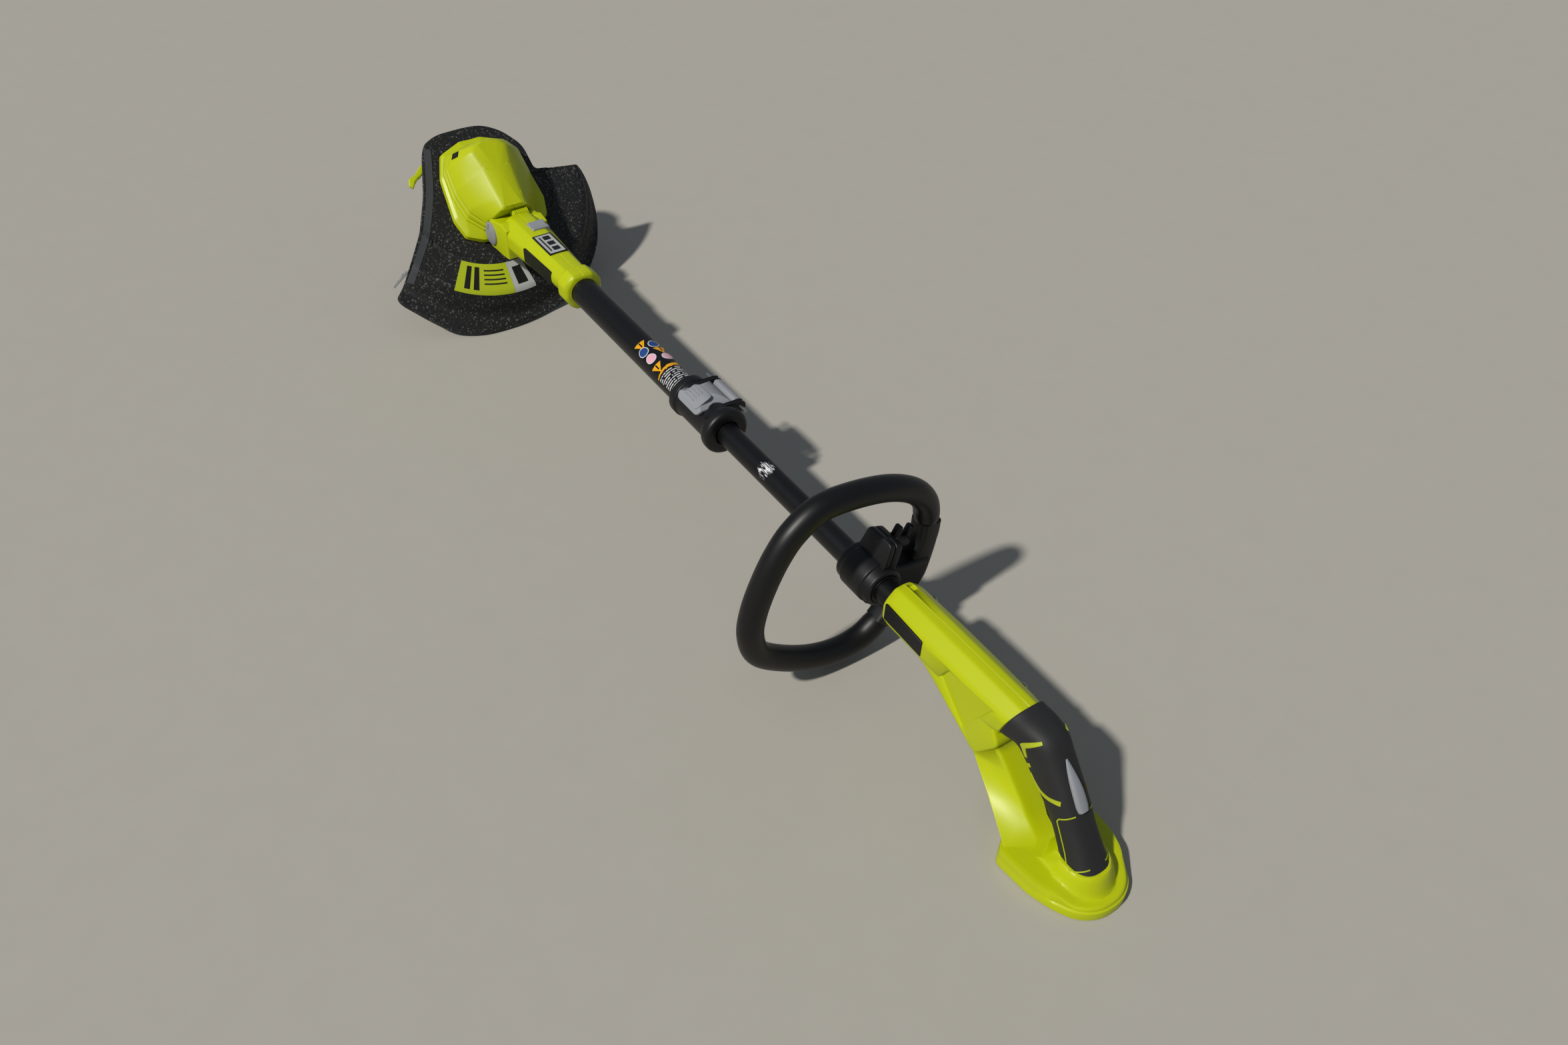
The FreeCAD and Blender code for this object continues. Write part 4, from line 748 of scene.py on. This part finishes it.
# ---- Front housing ------------------------------------------------------------------------
# Two lime ABS shells clamped on the front tube behind the pivot: a collar, a body that widens
# forwards, two round ears with domed grey caps, a ribbed stop roll and a grey lock slide.
front_barrel = barrel([(846, 20, 19, 20, 0.0), (847, 22, 21, 22, 0.0), (850, 24, 23, 24, 0.0),
                       (866, 24, 23, 24, 0.0), (870, 21, 20, 20.6, 0.0), (873, 20.4, 19.4, 20, 0.0),
                       (900, 21.5, 19.5, 22, 0.0), (960, 25, 20, 26, 0.0), (1000, 27.5, 20, 28, 0.0),
                       (1016, 28, 19, 28, 0.0), (1019, 27, 18, 27, 0.0), (1020, 25, 16, 25, 0.0)], 12.0)
PIVOT_S, PIVOT_DROP, EAR_R = 1043.0, -12.6, 21.0
bend = np.radians(np.linspace(100, -110, 30))
ear_outline = np.concatenate([[(996, 12), (1012, 15.5), (1024, 11)],
                              np.column_stack([PIVOT_S + EAR_R * np.cos(bend),
                                               PIVOT_DROP + EAR_R * np.sin(bend)]),
                              [(1014, -31), (996, -27)]])[::-1]
ears = [standing(ear_outline, 3.4, 28.5, 2.0), standing(ear_outline, 17.2, 28.5, 2.0, side_sign=-1)]
ribs = [(-16.2, 0.5), (-16.2, 8.4)]
for k in range(9):
    ribs += [(-16 + k * 2.2 + ahead, r) for ahead, r in ((0, 9.6), (0.9, 9.6), (1.1, 8.7), (1.9, 8.7))]
ribs += [(4.2, 8.4), (4.2, 0.5)]
roll_points, roll_faces = lathe(ribs, 40)
roll_points = roll_points[:, [2, 0, 1]] + np.array([1029.5, 0, 9.4])
fit(build("front_shell", [front_barrel, *ears, (roll_points, roll_faces)], SHAFT), "front_shaft",
    "lime_plastic", lime, replaces=("socket_housing_left", "socket_housing_right"))
cap_points, cap_faces = lathe([(25.5, 15.6), (29.2, 15.6), (30.6, 15.0), (31.8, 13.2), (32.6, 9.5),
                               (33, 5), (33.1, 0.3), (25.5, 0.3)], 56)
cap_points = cap_points[:, [1, 0, 2]] + np.array([PIVOT_S, 0, PIVOT_DROP])
tick = soften([(1041.4, -6), (1044.6, -6), (1044.6, 1.4), (1041.4, 1.4)], 0.8, 3)
caps = [(cap_points * np.array([1, side_sign, 1]), cap_faces) for side_sign in (1, -1)]
caps += [standing(tick, 30.4, 33.2, 0.5, 3, side_sign) for side_sign in (1, -1)]
cap_grey = moulded("grey_moulded_abs_cap", "85878A", 0.4, 0.8, 0.03)
fit(build("pivot_cap_domes", caps, SHAFT), "front_shaft", "grey_plastic", cap_grey,
    replaces=("pivot_cap_left", "pivot_cap_right"))
slide_x = np.linspace(968, 987, 16)
scoop = 22.6 - 1.8 * np.sin((slide_x - 968) / 19 * np.pi) ** 2
scoop[[0, -1]] -= 1.2
slide = np.stack([np.column_stack([np.full(8, x), [-17, -18, -18, -16.8, 2.8, 4, 4, 3],
                                   [12, 13, h - 1.2, h, h, h - 1.2, 13, 12]])
                  for x, h in zip(slide_x, scoop)])
fit(build("lock_slide_scoop", [skin(slide)], SHAFT), "lock_button_body", "grey_plastic", grey_moulded,
    replaces=("lock_button",))


def plate_on_top(corners, low, high, edge=0.1):
    """A flat plate lying on the front housing's top, given its outline in x and y."""
    return slab(soften(corners, 0.8, 3), low, high, edge, 2)


def box(x0, x1, y0, y1):
    """The corners of a rectangle, counter-clockwise."""
    return [(x0, y0), (x1, y0), (x1, y1), (x0, y1)]


label_black = moulded("black_film", "141416", 0.4, 1.0, 0.01)
label_grey = moulded("pale_grey_film", "A9ABA9", 0.45, 1.0, 0.01)
label_back = plate_on_top([(908, -13), (956, -12.5), (956, 12), (908, 11.5)], 18.6, 20.35, 0.2)
fit(build("icon_label_film", [label_back], SHAFT), "front_shaft", "label_film", label_black,
    replaces=("socket_badge",))
label_field = plate_on_top([(910.5, -10.5), (953.5, -10.5), (953.5, 9.8), (910.5, 9.5)], 20.2, 20.5)
fit(build("icon_label_field", [label_field], SHAFT), "front_shaft", "label_film", label_grey)
signs = [plate_on_top(box(x, x + 9, -7, 2), 20.4, 20.65) for x in (915, 928, 941)]
signs.append(plate_on_top(box(915, 950, 4.5, 6.6), 20.4, 20.65))
fit(build("icon_label_marks", signs, SHAFT), "front_shaft", "label_film", label_black)
badge_points, badge_faces = standing(soften([(890, -9), (955, -9), (955, 9.5), (890, 8.5)], 1.2, 3),
                                     20.0, 24.6, 0.5, 2)
badge_points[:, 1] += (badge_points[:, 0] - 955) * 0.055 + 0.9     # the housing's side flares
fit(build("side_badge", [(badge_points, badge_faces)], SHAFT), "front_shaft", "black_plastic",
    black_moulded)

# ---- Motor housing ------------------------------------------------------------------------
# The head's lime cover: a faceted dome on a low round flange, split along the middle, with a
# dark air slot at the front left and a short neck back to the pivot between the ears.
pivot = np.array(joints["head_pivot"]["pos_m"])
head_up = np.array(joints["string_head_spin"]["axis"])
head_up = head_up * np.sign(head_up[2])
head_fore = np.cross(side, head_up)
HEAD = frame_at(pivot + head_fore * 0.071 - head_up * 0.0205, head_fore, head_up)
levels = [(1.0, [(60, 14), (49, 43), (19, 56), (-38, 62), (-62, 56), (-73, 36)]),
          (2.2, [(61, 14), (50, 44), (19, 57), (-39, 63), (-63, 57), (-74, 37)]),
          (8.5, [(60, 14), (49, 43), (19, 56), (-39, 62), (-63, 56), (-73, 36)]),
          (10.5, [(56, 13), (46, 41), (18, 53), (-37, 58), (-60, 52), (-70, 34)]),
          (12.5, [(52, 13), (44, 41), (23, 53), (-14, 55), (-44, 50), (-64, 33)]),
          (15.5, [(51, 13), (43.3, 40.6), (22.9, 52.4), (-13.6, 54.5), (-43.4, 49.4), (-63.6, 32.8)]),
          (16.3, [(50, 12), (42.2, 39), (22, 50.6), (-13, 52.6), (-42, 47.6), (-62, 31.4)]),
          (18.3, [(49.6, 12), (42, 38.8), (22, 50.4), (-13, 52.4), (-42, 47.4), (-62, 31.4)]),
          (19.1, [(49, 13), (42, 40), (22.9, 51.2), (-12.6, 53.4), (-41.4, 48), (-62, 32)]),
          (22.5, [(48, 13), (41, 39.6), (22.9, 50.2), (-12, 52.4), (-40, 47), (-61.4, 31.6)]),
          (23.3, [(47, 12), (40, 38.2), (22, 48.4), (-11.5, 50.4), (-39, 45.4), (-60, 30.4)]),
          (25.3, [(46.6, 12), (39.8, 38), (22, 48.2), (-11.3, 50.2), (-38.6, 45.2), (-60, 30.4)]),
          (26.1, [(46, 12), (39, 38.6), (22.9, 49), (-11, 51), (-38, 45.6), (-60.4, 30.8)]),
          (30.0, [(45, 12), (38, 38), (23, 48), (-10, 50), (-36, 44), (-59, 30)]),
          (43.0, [(40, 10), (35, 30), (21, 38), (-6, 38), (-40, 32), (-61, 26)]),
          (57.5, [(34, 7), (30, 19), (21.5, 26), (-3, 20.5), (-43, 18), (-60, 18)]),
          (60.6, [(31, 5), (27, 14), (19.5, 20), (-4, 15.4), (-43, 12.8), (-57, 13)])]
dome_rings = []
for level, half in levels:
    loop = [*half, (half[-1][0] - 0.4, 0.6), (half[-1][0] + 0.4, 0.0)]
    loop += [(x, -y) for x, y in loop[-2::-1]] + [(half[0][0] - 0.5, 0.0)]
    reach = [2, 3, 3, 3, 3, 3, 0.01, 0.01, 0.01, 3, 3, 3, 3, 3, 2, 0.01]
    ring = soften(np.array(loop), reach, 5)
    dome_rings.append(np.column_stack([ring, np.full(len(ring), level)]))
dome = skin(np.stack(dome_rings))
neck_outline = soften([(-74, 37.5), (-60, 55), (-40, 57), (-40, 8), (-72, 3)], [8, 10, 3, 3, 8], 6)
neck = standing(neck_outline, -16.4, 2.6, 2.5)
hinge_points, hinge_faces = lathe([(-16.6, 0.5), (-16.6, 17.2), (-15.8, 18), (1.8, 18), (2.6, 17.2),
                                   (2.6, 0.5)], 48)
hinge_points = hinge_points[:, [1, 0, 2]] + np.array([-71, 0, 20.5])
head_shell = build("head_shell", [dome, neck, (hinge_points, hinge_faces)], HEAD)
fit(head_shell, "cutting_head", "lime_plastic", lime,
    replaces=("motor_housing_left", "motor_housing_right"))
vent_black = moulded("shadow_black_vent", "08080A", 0.8, 1.0, 0.02)
slot = np.array([(35.9, 37, 33), (29, 41.4, 33), (27.3, 35.2, 42), (34, 31.4, 42)])
slot_out = np.array([0.75, 0.5, 0.35])
vent = skin(np.stack([slot - 2 * slot_out, slot + 0.5 * slot_out]))
fit(build("vent_slot", [vent], HEAD), "cutting_head", "black_plastic", vent_black)

# ---- Guard --------------------------------------------------------------------------------
# A black polypropylene deflector screwed under the head: a flat plate that ends in a sloping
# skirt, wider at the back, straight edges at the front, dusty and flecked with grass.
guard_black = moulded("dusty_black_polypropylene", "131314", 0.6, 0.8, 0.05, fleck="5E5F5A",
                      fleck_mm=3.0, fleck_share=0.57, shade=0.3)
corners = np.array([(81, -3), (80, 36), (72, 55), (59, 64), (7, 84), (-38, 108), (-64, 128), (-92, 150),
                    (-103, 163), (-113, 160), (-147, 132), (-166, 112), (-181, 82), (-184, 44),
                    (-182, 8), (-172, -40), (-150, -82), (-112, -118), (-70, -136), (-30, -140),
                    (-6, -134), (-1, -94), (4, -70), (40, -68), (66, -48), (79, -26)])
rim = soften(corners, [12, 12, 6, 8, 8, 10, 12, 8, 5, 6, 12, 16, 16, 20, 20, 24, 24, 20, 18, 12, 5, 8, 6,
                       12, 12, 12], 8)
GUARD_MID = np.array([-4.0, 14.0])


def guard_top(x, y):
    """Plate height in mm: flat, then a smooth step down 24 mm outside a radius of 137 mm."""
    far = np.hypot(x - GUARD_MID[0], y - GUARD_MID[1])
    fall = np.clip((far - 137) / 28, 0, 1)
    ring = 1.6 * np.exp(-((far - 98) / 1.6) ** 2) - 1.6 * np.exp(-((far - 147) / 2.5) ** 2)
    deep = -24 * fall * fall * (3 - 2 * fall)
    floor = (1.5 - HEAD[0][2] - x * HEAD[1][0][2]) / HEAD[1][2][2] + 3.4
    return np.maximum(deep + ring * (x < 20), floor)


share = np.concatenate([[0.36], np.linspace(0.4, 0.985, 60), [1.0]])[:, None, None]
flat = GUARD_MID * 0.2 + (rim - GUARD_MID * 0.2) * share
upper = np.concatenate([flat, guard_top(flat[..., 0], flat[..., 1])[..., None]], -1)
upper[-1, :, 2] -= 0.7
lower = upper - np.array([0, 0, 2.6])
lower[-1, :, 2] += 1.2
sheet = np.concatenate([upper, lower[::-1], upper[:1]])
guard_skin = skin(sheet, cap=False)
fit(build("guard_skin", [guard_skin], HEAD), "cutting_head", "guard_plastic", guard_black,
    replaces=("guard",))


def guard_film(x, y, lift):
    """A thin closed film on the guard over a grid of x, y: z = plate height + lift, 0.8 mm below."""
    z = guard_top(x, y)
    n, m = x.shape
    i, j = np.meshgrid(np.arange(n - 1), np.arange(m - 1), indexing="ij")
    quad = np.stack([i * m + j, i * m + j + 1, (i + 1) * m + j + 1, (i + 1) * m + j], -1).reshape(-1, 4)
    g = np.arange(n * m).reshape(n, m)
    loop = np.concatenate([g[0], g[1:-1, -1], g[-1, ::-1], g[-2:0:-1, 0]])
    wall = np.stack([loop, np.roll(loop, -1), np.roll(loop, -1) + n * m, loop + n * m], -1)
    points = np.concatenate([np.stack([x, y, z + up], -1).reshape(-1, 3) for up in (-0.8, lift)])
    return points, np.concatenate([quad, quad[:, ::-1] + n * m, wall]).tolist()


def guard_patch(r0, r1, a0, a1, lift=0.35):
    """A film over a ring sector about the guard's centre."""
    r = np.linspace(r0, r1, 12)[:, None]
    a = np.radians(np.linspace(a0, a1, 60))[None]
    return guard_film(GUARD_MID[0] + r * np.cos(a), GUARD_MID[1] + r * np.sin(a), lift)


edge_grey = moulded("scuffed_grey_edge", "3E4043", 0.6, 1.0, 0.04, shade=0.3)
edge_line = rounded([(66, 60), (40, 69), (7, 82), (-38, 106), (-64, 126), (-88, 146)], 3)
edge_in = np.gradient(edge_line, axis=0)[:, ::-1] * np.array([1, -1])
edge_in /= np.linalg.norm(edge_in, axis=1, keepdims=True)
edge_in *= np.sign(np.sum(edge_in * (GUARD_MID - edge_line), 1, keepdims=True))
across = np.linspace(1.5, 10.5, 4)[:, None, None]
edge_grid = edge_line + edge_in * across
edge_band = guard_film(edge_grid[..., 0], edge_grid[..., 1], 0.5)
fit(build("guard_edge_band", [edge_band], HEAD), "cutting_head", "guard_plastic", edge_grey)
sticker_lime = moulded("lime_printed_film", "A8B51C", 0.45, 1.0, 0.01)
fit(build("guard_sticker_lime", [guard_patch(102, 143, 144.5, 176)], HEAD), "cutting_head", "label_lime",
    sticker_lime, replaces=("guard_label",))
fit(build("guard_sticker_grey", [guard_patch(102, 143, 176.1, 188)], HEAD), "cutting_head", "label_film",
    label_grey)
ink = [guard_patch(*sector, 0.6) for sector in (
    (107, 138, 149, 152), (107, 138, 154, 157), (110, 112, 160, 173), (116, 118, 160, 173),
    (122, 124, 160, 173), (128, 130, 160, 173), (110, 134, 179, 185))]
fit(build("guard_sticker_marks", ink, HEAD), "cutting_head", "label_film", label_black)

# ---- Edge guide and line ------------------------------------------------------------------
# A lime wire-like guide folded under the guard's front left edge, and the two ends of the nylon
# line, worn short and swept back by the spin.
tab = soften([(44, 46), (53, 46), (47, 71), (37.5, 82), (34, 91.5), (25, 94.5), (20.5, 90), (29, 84.5),
              (32.5, 76.5), (40, 66)], 1.6, 4)
fit(build("edge_guide_tab", [slab(tab, -8, -3.2, 1.4, 4)], HEAD), "edge_guide_body", "lime_plastic",
    lime, replaces=("edge_guide",))
line_nylon = moulded("clear_grey_nylon_line", "B9BDB4", 0.3, 0.5, 0.01)
sweep = np.radians(np.linspace(0, 38, 24))
away = np.linspace(40, 92, 24)
line_node = frame["nodes"]["cutting_line"]
line_points = np.array([line_node.matrix_world @ v.co for v in line_node.data.vertices]) / MM
line_height = float(np.mean((line_points - HEAD[0]) @ HEAD[1][2]))
ends = []
for turn in (0, np.pi):
    trail = np.column_stack([away * np.cos(sweep + turn - 0.5), away * np.sin(sweep + turn - 0.5)])
    tube = skin(swept(trail, 1.2, 12))
    ends.append((tube[0][:, [1, 2, 0]] + np.array([0, 0, line_height]), tube[1]))
fit(build("worn_line_ends", ends, HEAD), "string_head", "line_nylon", line_nylon,
    replaces=("cutting_line",))

# ---- Remaining small parts ----------------------------------------------------------------
# The hidden and underside parts keep their designed shape and get their finish here: the spool,
# fan and head in black nylon, brass contacts and cast aluminium eyelets.
brass = moulded("brass_contacts", "B08D3C", 0.3, 0.5, 0.01, Metallic=1.0)
aluminium = moulded("cast_aluminium", "A9ABAE", 0.4, 0.5, 0.02, Metallic=1.0)
for material, names in ((black_moulded, ("trigger_switch", "terminal_block", "head_base", "head_cover",
                                         "line_spool", "cooling_fan")),
                        (brass, ("terminal_blades",)), (aluminium, ("line_eyelets",))):
    for name in names:
        dress(name, material)

# ---- Floor and light ----------------------------------------------------------------------
# A plain pale floor, one far, slightly soft lamp high on the left and a dim, even surround.
floor_corners = np.array([(-6, -6, 0), (6, -6, 0), (6, 6, 0), (-6, 6, 0)]) / MM
ground = build("floor", [(floor_corners, [[0, 1, 2, 3]])], WORLD, solid=False)
ground.data.materials.append(moulded("pale_floor", "A6A299", 0.85, 30.0, 0.02, shade=0.05))
sun = bpy.data.lights.new("key", "SUN")
sun.energy, sun.angle = 3.5, math.radians(3.0)
sun.color = (1.0, 0.97, 0.92)
key = bpy.data.objects.new("key", sun)
bpy.context.scene.collection.objects.link(key)
key.rotation_euler = Vector((0.142, -0.921, -1.0)).to_track_quat("-Z", "Y").to_euler()
world = bpy.data.worlds.new("surround")
world.use_nodes = True
world.node_tree.nodes["Background"].inputs["Color"].default_value = (0.75, 0.85, 1.0, 1.0)
world.node_tree.nodes["Background"].inputs["Strength"].default_value = 0.24
bpy.context.scene.world = world
bpy.context.scene.view_settings.view_transform = "Standard"
